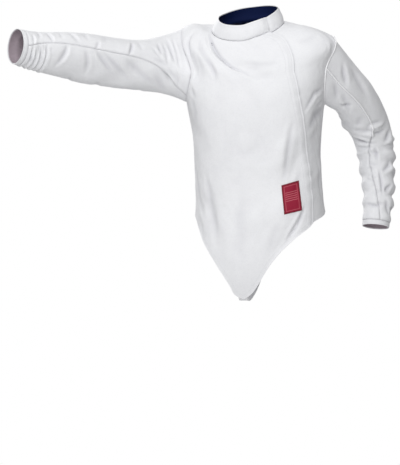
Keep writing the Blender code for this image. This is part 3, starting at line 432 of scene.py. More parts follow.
Crease = namedtuple("Crease", "u v mid_u mid_v end_u end_v width depth fold")
AROUND = {
    "sleeve_right": ("sleeve_right_under", "sleeve_right_upper"),
    "sleeve_left": ("sleeve_left_upper", "sleeve_left_under"),
}
CREASES = {
    "front_right": [
        (0.385, 0.995, 0.485, 0.885, 0.735, 0.752, 4.8, -6.4, -0.5),
        (0.19, 0.9, 0.135, 0.852, 0.07, 0.815, 6.0, -3.4, 0.4),
        (0.255, 0.9, 0.331, 0.81, 0.311, 0.67, 7.0, -3.2, 0.3),
        (0.26, 0.813, 0.2, 0.757, 0.186, 0.695, 8.0, -1.9, 0.0),
        (0.397, 0.878, 0.352, 0.789, 0.372, 0.7, 8.0, -1.8, 0.3),
        (0.03, 0.715, 0.08, 0.66, 0.133, 0.614, 6.5, -2.4, 0.4),
        (0.07, 0.64, 0.12, 0.57, 0.14, 0.5, 9.0, -1.8, 0.0),
        (0.633, 0.892, 0.781, 0.843, 0.933, 0.829, 8.0, -1.5, 0.3),
        (0.639, 0.799, 0.758, 0.771, 0.869, 0.782, 9.5, -1.2, 0.0),
        (0.925, 0.53, 0.855, 0.42, 0.8, 0.3, 8.5, -3.4, -0.3),
        (0.938, 0.3, 0.89, 0.245, 0.85, 0.17, 9.0, -1.8, 0.0),
        (0.94, 0.14, 0.891, 0.072, 0.815, 0.02, 5.5, -4.2, -0.5),
        (0.76, 0.19, 0.74, 0.11, 0.69, 0.05, 12.0, -2.0, 0.0),
        (1.0, 0.01, 1.0, 0.21, 1.0, 0.43, 15.0, 3.6, 0.0),
        (1.0, 0.38, 1.0, 0.6, 1.0, 0.86, 11.0, 1.6, 0.0),
        (0.2, 0.34, 0.255, 0.19, 0.325, 0.07, 11.0, -3.0, 0.0),
        (0.05, 0.36, 0.09, 0.22, 0.16, 0.11, 9.0, -3.2, 0.3),
        (0.52, 0.42, 0.5, 0.26, 0.53, 0.11, 17.0, -1.8, 0.0),
        (0.44, 0.58, 0.56, 0.52, 0.69, 0.56, 16.0, -1.4, 0.0),
    ],
    "front_left": [
        (0.94, 0.66, 0.7, 0.59, 0.34, 0.48, 6.5, -3.6, 0.5),
        (0.93, 0.55, 0.7, 0.48, 0.38, 0.4, 15.0, -5.0, 0.4),
        (0.978, 0.62, 0.797, 0.556, 0.65, 0.52, 6.5, -2.2, -0.3),
        (0.97, 0.6, 0.873, 0.519, 0.89, 0.43, 7.0, -1.8, 0.3),
        (0.92, 0.42, 0.86, 0.3, 0.9, 0.17, 9.0, -2.2, 0.0),
        (0.626, 0.27, 0.707, 0.16, 0.73, 0.06, 9.0, -2.2, 0.3),
        (0.3, 0.9, 0.48, 0.85, 0.7, 0.86, 9.0, -1.4, 0.0),
        (0.78, 0.93, 0.84, 0.86, 0.86, 0.76, 8.0, -2.0, 0.3),
    ],
    "back": [
        (0.955, 0.785, 0.84, 0.712, 0.65, 0.655, 8.0, -3.6, 0.3),
        (0.965, 0.655, 0.87, 0.56, 0.8, 0.44, 9.0, -3.2, 0.3),
        (0.95, 0.56, 0.93, 0.48, 0.925, 0.4, 7.0, -2.2, 0.0),
        (0.045, 0.77, 0.15, 0.7, 0.3, 0.59, 8.0, -3.6, -0.4),
        (0.04, 0.65, 0.09, 0.59, 0.17, 0.545, 6.0, -3.4, -0.3),
        (0.35, 0.95, 0.5, 0.9, 0.64, 0.935, 6.0, -3.2, 0.4),
        (0.45, 0.868, 0.56, 0.842, 0.69, 0.87, 8.0, -2.0, 0.3),
        (0.8, 0.925, 0.855, 0.87, 0.93, 0.83, 7.0, -2.4, 0.3),
        (0.215, 0.93, 0.15, 0.885, 0.085, 0.82, 7.0, -2.2, -0.3),
        (0.5, 0.42, 0.44, 0.24, 0.455, 0.09, 13.0, -3.2, 0.3),
        (0.56, 0.26, 0.64, 0.16, 0.655, 0.04, 10.0, -3.6, 0.3),
        (0.35, 0.23, 0.3, 0.14, 0.3, 0.06, 9.0, -2.6, -0.3),
        (0.76, 0.36, 0.836, 0.19, 0.83, 0.03, 9.0, -3.6, -0.3),
        (0.19, 0.27, 0.14, 0.18, 0.165, 0.08, 11.0, -2.8, 0.3),
        (0.02, 0.365, 0.12, 0.35, 0.235, 0.385, 7.5, -2.4, 0.3),
        (0.98, 0.335, 0.88, 0.345, 0.78, 0.31, 8.0, -2.2, -0.3),
        (0.3, 0.5, 0.42, 0.47, 0.56, 0.5, 13.0, -2.0, 0.0),
        (0.47, 0.76, 0.5, 0.66, 0.48, 0.56, 17.0, -1.7, 0.0),
    ],
    "sleeve_right": [
        (1.5, 0.078, 1.33, 0.062, 1.16, 0.068, 4.5, -2.8, 0.5),
        (1.46, 0.128, 1.31, 0.1, 1.19, 0.096, 5.0, -3.0, 0.5),
        (1.37, 0.162, 1.25, 0.148, 1.1, 0.163, 5.0, -2.6, 0.4),
        (1.34, 0.205, 1.24, 0.196, 1.15, 0.212, 5.5, -2.8, -0.4),
        (1.243, 0.262, 1.147, 0.22, 1.085, 0.18, 5.5, -2.4, 0.4),
        (1.067, 0.29, 1.089, 0.206, 1.15, 0.121, 6.0, -2.8, 0.3),
        (1.069, 0.18, 1.061, 0.11, 1.04, 0.05, 5.0, -2.8, -0.4),
        (1.019, 0.228, 0.989, 0.153, 0.925, 0.08, 5.0, -2.8, 0.4),
        (1.16, 0.1, 1.063, 0.062, 0.985, 0.06, 4.5, -2.4, 0.4),
        (1.29, 0.374, 1.13, 0.392, 0.96, 0.428, 4.4, -5.0, -0.4),
        (1.3, 0.345, 1.2, 0.33, 1.09, 0.335, 6.0, -1.8, 0.0),
        (1.17, 0.58, 1.06, 0.595, 0.95, 0.616, 4.0, -2.8, 0.3),
        (1.33, 0.52, 1.21, 0.54, 1.12, 0.56, 8.0, -1.6, 0.0),
        (1.4, 0.64, 1.26, 0.655, 1.11, 0.64, 7.0, -1.9, 0.3),
        (1.36, 0.745, 1.18, 0.725, 1.005, 0.69, 6.0, -2.5, 0.4),
        (1.32, 0.81, 1.2, 0.795, 1.06, 0.8, 5.0, -1.9, 0.0),
        (1.3, 0.872, 1.14, 0.858, 0.985, 0.845, 5.0, -2.8, 0.5),
        (1.37, 0.93, 1.23, 0.922, 1.05, 0.935, 4.5, -2.2, 0.4),
        (1.26, 0.972, 1.11, 0.966, 0.98, 0.975, 3.8, -2.4, 0.5),
        (1.04, 0.976, 0.812, 0.972, 0.52, 0.95, 3.4, -2.6, 0.6),
        (0.995, 0.948, 0.823, 0.945, 0.66, 0.926, 3.2, -1.7, 0.5),
        (1.03, 0.93, 0.841, 0.918, 0.56, 0.894, 4.2, -2.8, 0.5),
        (0.99, 0.888, 0.881, 0.886, 0.76, 0.868, 4.6, -2.2, 0.4),
        (0.945, 0.857, 0.889, 0.86, 0.82, 0.855, 4.0, -1.7, 0.0),
        (1.01, 0.778, 0.848, 0.786, 0.61, 0.836, 6.0, -4.4, 0.4),
        (0.99, 0.69, 0.821, 0.656, 0.61, 0.655, 7.0, -3.2, 0.3),
        (1.0, 0.622, 0.864, 0.568, 0.68, 0.47, 6.5, -4.0, -0.4),
        (1.01, 0.59, 0.854, 0.5, 0.65, 0.37, 6.5, -3.6, 0.3),
        (0.985, 0.47, 0.845, 0.364, 0.7, 0.21, 8.0, -3.2, 0.3),
        (0.88, 0.275, 0.78, 0.19, 0.64, 0.15, 8.0, -2.4, 0.0),
        (0.6, 0.72, 0.45, 0.7, 0.3, 0.712, 7.0, -1.7, 0.3),
        (0.62, 0.56, 0.42, 0.54, 0.26, 0.5, 8.0, -1.9, 0.3),
        (0.48, 0.62, 0.3, 0.6, 0.12, 0.618, 6.0, -2.8, -0.3),
        (0.56, 0.33, 0.38, 0.3, 0.18, 0.315, 8.0, -2.4, 0.3),
        (0.52, 0.15, 0.36, 0.125, 0.18, 0.14, 6.0, -2.6, 0.4),
        (0.56, 0.982, 0.4, 0.962, 0.23, 0.972, 3.4, -2.2, 0.5),
        (0.54, 0.938, 0.36, 0.94, 0.15, 0.93, 3.8, -2.0, 0.5),
        (0.5, 0.895, 0.33, 0.884, 0.18, 0.892, 4.4, -2.2, 0.4),
        (0.4, 0.835, 0.24, 0.822, 0.08, 0.835, 5.0, -2.0, 0.3),
        (1.62, 0.1, 1.76, 0.085, 1.92, 0.096, 5.0, -2.8, 0.4),
        (1.58, 0.172, 1.73, 0.15, 1.87, 0.168, 6.0, -2.5, -0.3),
        (1.69, 0.262, 1.82, 0.23, 1.96, 0.252, 6.5, -2.3, 0.3),
        (1.64, 0.438, 1.8, 0.452, 1.96, 0.43, 6.0, -2.9, 0.4),
        (1.72, 0.505, 1.85, 0.522, 2.06, 0.5, 6.5, -2.5, 0.3),
        (1.6, 0.655, 1.74, 0.64, 1.88, 0.665, 7.0, -2.0, 0.0),
        (1.56, 0.76, 1.7, 0.775, 1.84, 0.752, 6.0, -2.2, 0.3),
        (1.63, 0.836, 1.78, 0.832, 1.93, 0.85, 5.0, -2.1, 0.3),
        (1.58, 0.902, 1.73, 0.908, 1.9, 0.89, 4.5, -2.2, 0.4),
        (1.6, 0.964, 1.76, 0.952, 1.96, 0.966, 3.8, -2.2, 0.5),
    ],
    "sleeve_left": [
        (0.78, 0.06, 0.885, 0.11, 0.955, 0.155, 7.0, -4.6, 0.4),
        (1.24, 0.13, 1.16, 0.17, 1.045, 0.19, 4.8, -4.8, 0.5),
        (1.06, 0.11, 1.12, 0.17, 1.2, 0.25, 6.0, -3.6, -0.4),
        (1.04, 0.06, 1.12, 0.095, 1.24, 0.11, 6.0, -2.8, 0.0),
        (0.7, 0.1, 0.77, 0.19, 0.86, 0.3, 9.0, -3.2, 0.3),
        (1.06, 0.26, 1.13, 0.3, 1.22, 0.33, 8.0, -2.4, 0.0),
        (1.48, 0.43, 1.24, 0.456, 0.9, 0.52, 5.5, -7.0, 0.6),
        (1.22, 0.392, 0.955, 0.44, 0.72, 0.458, 7.0, 5.6, 0.5),
        (1.05, 0.46, 0.89, 0.492, 0.68, 0.505, 5.5, -4.6, 0.3),
        (1.33, 0.518, 1.085, 0.535, 0.84, 0.562, 5.0, -3.2, 0.4),
        (1.3, 0.345, 1.16, 0.37, 1.01, 0.392, 8.0, -2.4, 0.3),
        (0.58, 0.51, 0.676, 0.548, 0.8, 0.572, 7.0, -5.5, 0.4),
        (0.92, 0.58, 0.88, 0.64, 0.86, 0.715, 4.4, -4.8, 0.5),
        (0.59, 0.68, 0.701, 0.726, 0.82, 0.755, 7.0, -5.8, 0.4),
        (0.865, 0.72, 0.858, 0.8, 0.89, 0.885, 4.4, -5.0, -0.5),
        (0.64, 0.8, 0.735, 0.838, 0.83, 0.85, 6.0, -4.8, 0.4),
        (1.06, 0.588, 0.935, 0.64, 0.83, 0.64, 5.0, -2.6, 0.4),
        (1.09, 0.665, 0.954, 0.708, 0.84, 0.698, 4.5, -2.2, 0.3),
        (1.2, 0.736, 1.02, 0.776, 0.85, 0.778, 5.0, -2.8, 0.5),
        (1.13, 0.826, 0.985, 0.856, 0.835, 0.846, 4.6, -2.4, 0.4),
        (1.38, 0.9, 1.085, 0.92, 0.78, 0.916, 4.8, -4.4, 0.5),
        (0.84, 0.88, 0.765, 0.93, 0.69, 0.975, 5.0, -4.0, 0.4),
        (0.35, 0.75, 0.5, 0.756, 0.66, 0.745, 8.0, -3.2, 0.4),
        (0.36, 0.925, 0.52, 0.932, 0.7, 0.92, 7.0, -3.4, 0.4),
        (0.32, 0.59, 0.45, 0.6, 0.61, 0.585, 7.0, -3.0, 0.3),
        (0.1, 0.5, 0.25, 0.52, 0.45, 0.502, 7.0, -3.0, 0.4),
        (0.08, 0.44, 0.22, 0.422, 0.4, 0.438, 6.5, -2.5, 0.0),
        (0.12, 0.598, 0.21, 0.622, 0.33, 0.64, 6.0, -2.4, 0.3),
        (0.08, 0.7, 0.2, 0.722, 0.36, 0.7, 5.5, -2.4, 0.3),
        (0.08, 0.842, 0.24, 0.86, 0.4, 0.836, 5.5, -2.8, 0.4),
        (0.15, 0.118, 0.28, 0.098, 0.42, 0.13, 6.5, -2.3, 0.3),
        (0.2, 0.21, 0.35, 0.182, 0.52, 0.208, 8.0, -2.0, 0.0),
        (0.25, 0.33, 0.4, 0.31, 0.56, 0.336, 9.0, -1.8, 0.3),
        (1.5, 0.492, 1.68, 0.478, 1.9, 0.5, 6.0, -4.2, 0.5),
        (1.48, 0.42, 1.66, 0.398, 1.85, 0.43, 6.5, -3.0, 0.3),
        (1.42, 0.59, 1.65, 0.62, 1.86, 0.602, 6.0, -2.8, 0.3),
        (1.4, 0.672, 1.58, 0.69, 1.78, 0.668, 5.5, -2.6, 0.4),
        (1.42, 0.78, 1.62, 0.802, 1.84, 0.77, 6.0, -3.0, 0.4),
        (1.48, 0.9, 1.65, 0.922, 1.86, 0.905, 5.5, -3.0, 0.4),
        (1.5, 0.12, 1.66, 0.1, 1.85, 0.13, 6.0, -3.0, 0.4),
        (1.42, 0.21, 1.6, 0.18, 1.8, 0.202, 7.0, -2.6, 0.3),
        (1.38, 0.3, 1.56, 0.28, 1.74, 0.31, 8.0, -2.0, 0.0),
    ],
}
CREASES = {place: [Crease(*row) for row in rows] for place, rows in CREASES.items()}
CREASE_RUN = np.linspace(0, 1, 49)
CREASE_TAPER = 0.42         # share of a crease's length over which each end fades
CREASE_POINT = 0.45         # width of a crease at its ends, over its width in the middle
CREASE_REACH = 3.5          # widths
FOLD_AWAY = 1.6             # widths from a crease to the fold beside it
ARMHOLE_FADE = 9 * MM       # creases fade out over this length, at seams where the cloth turns
NECK_FADE = 7 * MM
FULL_FACING = 0.6           # cloth that faces a crease's own way by this share moves by all of it
HOLLOW_DEPTH = 5 * MM       # a trough this deep gets the full painted shade
LAP_SHADE = 4.5 * MM        # how far the painted shade of the flap's edge spreads on the cloth under it

Ripple = namedtuple("Ripple", "scale height")
BROAD_RIPPLE = Ripple(24, 0.9 * MM)
FINE_RIPPLE = Ripple(75, 0.35 * MM)


def crease_line(place, crease):
    """The points, normals and ways of a crease's middle line."""
    t = CREASE_RUN
    start, middle, end = (1 - t) * (1 - 2 * t), 4 * t * (1 - t), t * (2 * t - 1)
    u = start * crease.u + middle * crease.mid_u + end * crease.end_u
    v = np.clip(start * crease.v + middle * crease.mid_v + end * crease.end_v, 0, 1)
    around = AROUND.get(place, (place,))
    points, normals = np.zeros((len(t), 3)), np.zeros((len(t), 3))
    for turn, node in enumerate(around):
        on = np.floor(u % len(around)) == turn
        points[on], normals[on] = cloths[node].at(u[on] % 1, v[on])
    return points, normals, unit(np.gradient(points, axis=0))


def crease_heights(cloth, line, crease):
    """How far one crease moves each point of a cloth along its normal."""
    points, normals, ways = line
    width, depth = crease.width * MM, crease.depth * MM
    reach = CREASE_REACH * width
    heights = np.zeros(cloth.points.shape[:2])
    inside = np.all((cloth.points > points.min(0) - reach) & (cloth.points < points.max(0) + reach), axis=-1)
    if not inside.any():
        return heights
    spots = cloth.points[inside]
    gaps = np.linalg.norm(spots[:, None] - points, axis=-1)
    nearest = gaps.argmin(axis=-1)
    sideways = np.cross(normals[nearest], ways[nearest])
    offset = np.sum((spots - points[nearest]) * sideways, axis=-1)
    side = np.sign(offset)
    spread = CREASE_POINT + (1 - CREASE_POINT) * np.sin(np.pi * CREASE_RUN)
    away = gaps.min(axis=-1) / (width * spread[nearest])
    taper = smooth(CREASE_RUN / CREASE_TAPER) * smooth((1 - CREASE_RUN) / CREASE_TAPER)
    agreement = smooth(np.sum(cloth.normals[inside] * normals[nearest], axis=-1) / FULL_FACING)
    shape = bell(away) - abs(crease.fold) * bell(side * np.sign(crease.fold) * away - FOLD_AWAY)
    heights[inside] = depth * taper[nearest] * agreement * shape
    return heights


def ripple_heights(points):
    """Slight unevenness of worn cloth: broad and fine ripples."""
    heights = np.zeros(points.shape[:2])
    for i, j in np.ndindex(heights.shape):
        spot = Vector(points[i, j])
        broad = noise.noise(spot * BROAD_RIPPLE.scale) * BROAD_RIPPLE.height
        fine = noise.noise(spot * FINE_RIPPLE.scale) * FINE_RIPPLE.height
        heights[i, j] = broad + fine
    return heights


def crease_all():
    """Moves every cloth's points by the creases and ripples, except where it turns at a seam.

    Each cloth also keeps how deep its points lie in the troughs of its creases, as painted shade for its
    finish. So does the left front for its stretch beside the flap's edge.
    """
    turning = [(cloths[node].border(0), ARMHOLE_FADE) for pair in AROUND.values() for node in pair]
    turning.append((cloths["collar"].border(0), NECK_FADE))
    lines = [
        (crease_line(place, crease), crease) for place, rows in CREASES.items() for crease in rows
    ]
    moved = {}
    for node, cloth in cloths.items():
        heights = ripple_heights(cloth.points)
        for line, crease in lines:
            heights += crease_heights(cloth, line, crease)
        for seam, fade in turning:
            heights *= smooth(distances(cloth.points, close_points(seam, SEAM_STEP)) / fade)
        moved[node] = cloth.points + cloth.normals * heights[..., None]
        # painted shade: the deeper a trough, the darker its cloth is painted
        cloth.painted_shade = np.clip(-heights / HOLLOW_DEPTH, 0, 1)
    # painted shade: the left front is painted darker beside the flap's edge, where the flap shades it
    under = cloths["front_left"]
    beside = distances(under.points, close_points(cloths["front_right"].border(1), SEAM_STEP))
    under.painted_shade = np.maximum(under.painted_shade, bell(beside / LAP_SHADE))
    for node, cloth in cloths.items():
        cloth.points = moved[node]
        cloth.normals = grid_normals(cloth.points, cloth.closed)


crease_all()


# Seams: their borders roll in between the panels, and doubled cloth beside them stands up.


ROLL_REACH = 1.9 * MM       # how far in from a seam its border rolls
BAND_SLOPE = 1.6 * MM       # width over which the doubled cloth's step rises
PRESS_REACH = 15 * MM       # how far in from the edge of a lap it bends down
SEWN_GAP = 3 * MM           # borders closer than this are sewn together


def sides_of(grid):
    """A grid's lines along its edges: its first row, last column, last row and first column."""
    return grid[0], grid[:, -1], grid[-1], grid[:, 0]


def sew_edges():
    """Rolls in the sewn borders, raises the doubled cloth along edges and presses laps down."""
    rims = []
    for node, cloth in cloths.items():
        if cloth.piece.slot == WHITE:
            for side, edge in enumerate(cloth.edges):
                if edge.dip:
                    rims.append((node, side, cloth.border(side).copy(), sides_of(cloth.normals)[side].copy()))
    for node, cloth in cloths.items():
        shifts = np.zeros(cloth.points.shape)
        neck = distances(cloth.points, close_points(cloths["collar"].border(0), SEAM_STEP))
        for side, edge in enumerate(cloth.edges):
            away = cloth_edges[node][side]
            if edge.rise:
                band = edge.rise * smooth((edge.band - away) / BAND_SLOPE + 0.5)
                shifts += cloth.normals * band[..., None]
            if edge.press:
                down = edge.press * smooth(1 - away / PRESS_REACH) * smooth(neck / NECK_FADE)
                shifts -= cloth.normals * down[..., None]
            if not edge.dip:
                continue
            border, own = next((rim[2], rim[3]) for rim in rims if rim[:2] == (node, side))
            others = [rim for rim in rims if rim[0] != node]
            spots = np.concatenate([rim[2] for rim in others])
            theirs = np.concatenate([rim[3] for rim in others])
            gaps = np.linalg.norm(border[:, None] - spots, axis=-1)
            beside = theirs[gaps.argmin(axis=-1)]
            shared = unit(own + beside * (gaps.min(axis=-1) < SEWN_GAP)[:, None])
            dip = edge.dip * bell(away / ROLL_REACH)
            ways = shared[None] if side in (0, 2) else shared[:, None]
            shifts -= ways * dip[..., None]
        cloth.points = cloth.points + shifts
        cloth.normals = grid_normals(cloth.points, cloth.closed)


sew_edges()


# Meshes.


def lay_grid(build, points, across, up):
    """Adds a grid of points, with its places in metres as a UV map, and gives each vertex's row and column."""
    rows, columns = points.shape[:2]
    places = build.loops.layers.uv.new("cloth")
    bmesh.ops.create_grid(build, x_segments=columns - 1, y_segments=rows - 1, size=1)
    spots = {}
    for vertex in build.verts:
        j = round((vertex.co.x + 1) / 2 * (columns - 1))
        i = round((vertex.co.y + 1) / 2 * (rows - 1))
        spots[vertex] = (i, j)
        vertex.co = points[i, j]
    for face in build.faces:
        face.smooth = True
        for loop in face.loops:
            i, j = spots[loop.vert]
            loop[places].uv = (across[j], up[i])
    return spots


def cloth_mesh(name, cloth):
    """A cloth's fine grid as a mesh, with the measures that its finish reads."""
    build = bmesh.new()
    seam_gap, stitch_gap = sewing_gaps(cloth)
    measures = {"seam_gap": seam_gap, "stitch_gap": stitch_gap, "painted_shade": cloth.painted_shade}
    layers = {word: build.verts.layers.float.new(word) for word in measures}
    spots = lay_grid(build, cloth.points, cloth.across, cloth.up)
    for vertex, spot in spots.items():
        for word, values in measures.items():
            vertex[layers[word]] = values[spot]
    if cloth.closed:
        last = len(cloth.across) - 1
        ends = [vertex for vertex, (_, j) in spots.items() if j in (0, last)]
        bmesh.ops.remove_doubles(build, verts=ends, dist=MERGE)
    return as_mesh(name, build)


def sewing_gaps(cloth):
    """How far each point is from the nearest sewn border, and from the nearest line of stitches."""
    aways = cloth_edges[cloth.piece.node]
    seam_gap = np.full(cloth.points.shape[:2], FAR)
    stitch_gap = np.full(cloth.points.shape[:2], FAR)
    for side, edge in enumerate(cloth.edges):
        if edge.dip > 0:
            seam_gap = np.minimum(seam_gap, aways[side])
        for offset in edge.stitches:
            gap = aways[side] - offset
            stitch_gap = np.where(np.abs(gap) < np.abs(stitch_gap), gap, stitch_gap)
    return seam_gap, stitch_gap


def add_piece(name, mesh, finish):
    mesh.materials.append(finish)
    piece = bpy.data.objects.new(name, mesh)
    bpy.context.scene.collection.objects.link(piece)
    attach(piece, "root")
    return piece


RIM_BEVEL = 0.45 * MM
RIM_ANGLE = math.radians(50)


def add_cloth(node, finish):
    """A piece of cloth with its thickness and its rounded rims, in place of its plain solid."""
    cloth = cloths[node]
    row = cloth.piece
    piece = add_piece(f"{node}_cloth", cloth_mesh(node, cloth), finish)
    wall = piece.modifiers.new("wall", "SOLIDIFY")
    wall.thickness = row.thickness
    wall.offset = -1
    wall.use_quality_normals = True
    rim = piece.modifiers.new("rim", "BEVEL")
    rim.width = RIM_BEVEL
    rim.segments = 2
    rim.limit_method = "ANGLE"
    rim.angle_limit = RIM_ANGLE
    rim.harden_normals = False
    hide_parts(node)
    return piece


# Stitches.


THREAD_LENGTH = 2.3 * MM
THREAD_RADIUS = 0.30 * MM
STITCH_PITCH = 3.1 * MM
INWARD_LINES = 3            # grid lines in from an edge that show the way in
CORNER_SHARE = 0.7          # stitches this share of their offset from another edge are left out
BUNCHED_SHARE = 0.6         # and so are those closer together than this share of the pitch


def thread_shape():
    """One stitch: a small grain of thread along X, with Z out of the cloth."""
    build = bmesh.new()
    bmesh.ops.create_uvsphere(build, u_segments=6, v_segments=4, radius=1)
    for vertex in build.verts:
        x, y, z = vertex.co
        vertex.co = (z * THREAD_LENGTH / 2, x * THREAD_RADIUS, y * THREAD_RADIUS)
    bmesh.ops.recalc_face_normals(build, faces=build.faces)
    return as_mesh("thread", build)


def copies(name, shape, centres, ways, outs):
    """Many copies of a small mesh as one mesh, each with X along its way and Z out."""
    corners = np.array([tuple(vertex.co) for vertex in shape.vertices])
    faces = [tuple(face.vertices) for face in shape.polygons]
    sides = np.cross(outs, ways)
    points = centres[:, None].copy()
    for axis, way in enumerate((ways, sides, outs)):
        points = points + corners[None, :, axis:axis + 1] * way[:, None]
    starts = range(0, len(centres) * len(corners), len(corners))
    every = [tuple(start + index for index in face) for start in starts for face in faces]
    mesh = bpy.data.meshes.new(name)
    mesh.from_pydata([tuple(point) for point in points.reshape(-1, 3)], [], every)
    mesh.shade_smooth()
    return mesh


def cloth_tree(cloth):
    rows, columns = cloth.points.shape[:2]
    corners = [tuple(point) for point in cloth.points.reshape(-1, 3)]
    faces = [(i * columns + j, i * columns + j + 1, (i + 1) * columns + j + 1, (i + 1) * columns + j)
             for i in range(rows - 1) for j in range(columns - 1)]
    return BVHTree.FromPolygons(corners, faces)


def stitch_line(cloth, tree, side, offset):
    """Centres, ways and outward directions of the stitches along one line beside an edge."""
    border = cloth.border(side)
    inside = cloth.border(side, INWARD_LINES)
    tangent = unit(np.gradient(border, axis=0))
    if cloth.closed:
        tangent[0] = tangent[-1] = unit(border[1] - border[-2])
    inward = inside - border
    inward = unit(inward - np.sum(inward * tangent, axis=-1, keepdims=True) * tangent)
    line = close_points(border + inward * offset, STITCH_PITCH)
    centres, outs = [], []
    rest = np.concatenate([cloth.border(other)[::2] for other in range(4)]) if not cloth.closed else border
    for spot in line:
        place, out = tree.find_nearest(Vector(spot))[:2]
        centres.append(place)
        outs.append(out)
    centres = np.array(centres)
    outs = np.array(outs)
    ways = np.gradient(centres, axis=0)
    ways = unit(ways - np.sum(ways * outs, axis=-1, keepdims=True) * outs)
    clear = distances(centres, rest) > CORNER_SHARE * offset
    steps = np.linalg.norm(np.gradient(centres, axis=0), axis=-1)
    keep = clear & (steps > BUNCHED_SHARE * STITCH_PITCH)
    return centres[keep], ways[keep], outs[keep]


def add_stitches(node, finish):
    """Every line of stitches on one piece of cloth, as one piece."""
    cloth = cloths[node]
    tree = cloth_tree(cloth)
    lines = []
    for side, edge in enumerate(cloth.edges):
        for offset in edge.stitches:
            lines.append(stitch_line(cloth, tree, side, offset))
    centres, ways, outs = (np.concatenate(parts) for parts in zip(*lines))
    mesh = copies(f"{node}_stitches", thread_shape(), centres, ways, outs)
    return add_piece(f"{node}_stitches", mesh, finish)


# Materials.


class Wire:
    """What one output of a node gives. Arithmetic on it adds Math nodes."""

    def __init__(self, finish, socket):
        self.finish = finish
        self.socket = socket

    def math(self, operation, *values):
        return self.finish.add("ShaderNodeMath", {"operation": operation}, dict(enumerate(values)))

    def __add__(self, other):
        return self.math("ADD", self, other)

    __radd__ = __add__

    def __mul__(self, other):
        return self.math("MULTIPLY", self, other)

    __rmul__ = __mul__

    def __sub__(self, other):
        return self.math("SUBTRACT", self, other)

    def __rsub__(self, other):
        return self.math("SUBTRACT", other, self)

    def __truediv__(self, other):
        return self.math("DIVIDE", self, other)

    def __abs__(self):
        return self.math("ABSOLUTE", self)

    def least(self, other):
        return self.math("MINIMUM", self, other)

    def wave(self, pitch):
        """A wave from -1 to 1 along this length."""
        return self.math("SINE", self * (2 * math.pi / pitch))

    def bell(self, width):
        """1 where this length is 0, falling to 0 beyond the width either side."""
        away = self / width
        return self.math("POWER", math.e, 0 - away * away)

    def below(self, limit, blur):
        """1 where this is under the limit and 0 over it, with a soft change between."""
        ends = {"From Min": limit - blur, "From Max": limit + blur, "To Min": 1.0, "To Max": 0.0}
        return self.finish.add(
            "ShaderNodeMapRange", {"interpolation_type": "SMOOTHSTEP"}, {"Value": self, **ends}
        )


class Finish:
    """A material: its Principled shader, with constants set on it, and the nodes that feed it."""

    def __init__(self, name, constants):
        self.material = bpy.data.materials.new(name)
        self.material.use_nodes = True
        self.tree = self.material.node_tree
        self.shader = self.tree.nodes["Principled BSDF"]
        for word, value in constants.items():
            self.shader.inputs[word].default_value = value

    def add(self, kind, settings=None, values=None, output=0):
        """Adds a node: first its settings, then the values or wires of its sockets."""
        node = self.tree.nodes.new(kind)
        for word, value in (settings or {}).items():
            setattr(node, word, value)
        for place, value in (values or {}).items():
            if isinstance(value, Wire):
                self.tree.links.new(value.socket, node.inputs[place])
            else:
                node.inputs[place].default_value = value
        return Wire(self, node.outputs[output])

    def feed(self, socket, wire):
        self.tree.links.new(wire.socket, self.shader.inputs[socket])

    def places(self):
        """The cloth's own places: metres across it and up it."""
        spots = self.add("ShaderNodeUVMap", {"uv_map": "cloth"})
        return (self.add("ShaderNodeSeparateXYZ", {}, {0: spots}, output=axis) for axis in range(2))

    def measure(self, name):
        """One of the cloth's own measures at each of its points."""
        return self.add("ShaderNodeAttribute", {"attribute_name": name}, output=2)

    def noise(self, scale, detail, roughness):
        """Noise in the object's own space."""
        spot = self.add("ShaderNodeTexCoord", output=3)
        inputs = {"Vector": spot, "Scale": scale, "Detail": detail, "Roughness": roughness}
        return self.add("ShaderNodeTexNoise", {}, inputs)

    def blend(self, factor, one, other):
        """A colour between two: one where the factor is 0 and the other where it is 1."""
        values = {"Factor": factor, 6: one, 7: other}
        return self.add("ShaderNodeMix", {"data_type": "RGBA", "clamp_factor": True}, values, output=2)

    def bump(self, height, strength, distance, under=None):
        values = {"Height": height, "Strength": strength, "Distance": distance}
        if under:
            values["Normal"] = under
        return self.add("ShaderNodeBump", {}, values)


def colour(red, green, blue):
    return (red, green, blue, 1.0)


WEAVE = 0.9 * MM            # pitch of the outer cloth's threads
LINING_WEAVE = 0.7 * MM
THREAD_HEIGHT = 0.12 * MM
SEAM_SHADE_REACH = 1.3 * MM        # how far the painted shade spreads from a rolled-in seam
STITCH_SHADE = 0.8 * MM     # half the width of the shaded line that stitches sink into
STITCH_DENT = 1.0 * MM
PUCKER_REACH = 5 * MM       # how far cloth puckers from its stitches
PUCKER_HEIGHT = 0.5 * MM


def weave_height(finish, pitch):
    """Threads over and under each other, from -1 to 1."""
    across, up = finish.places()
    return across.wave(pitch) * up.wave(pitch)


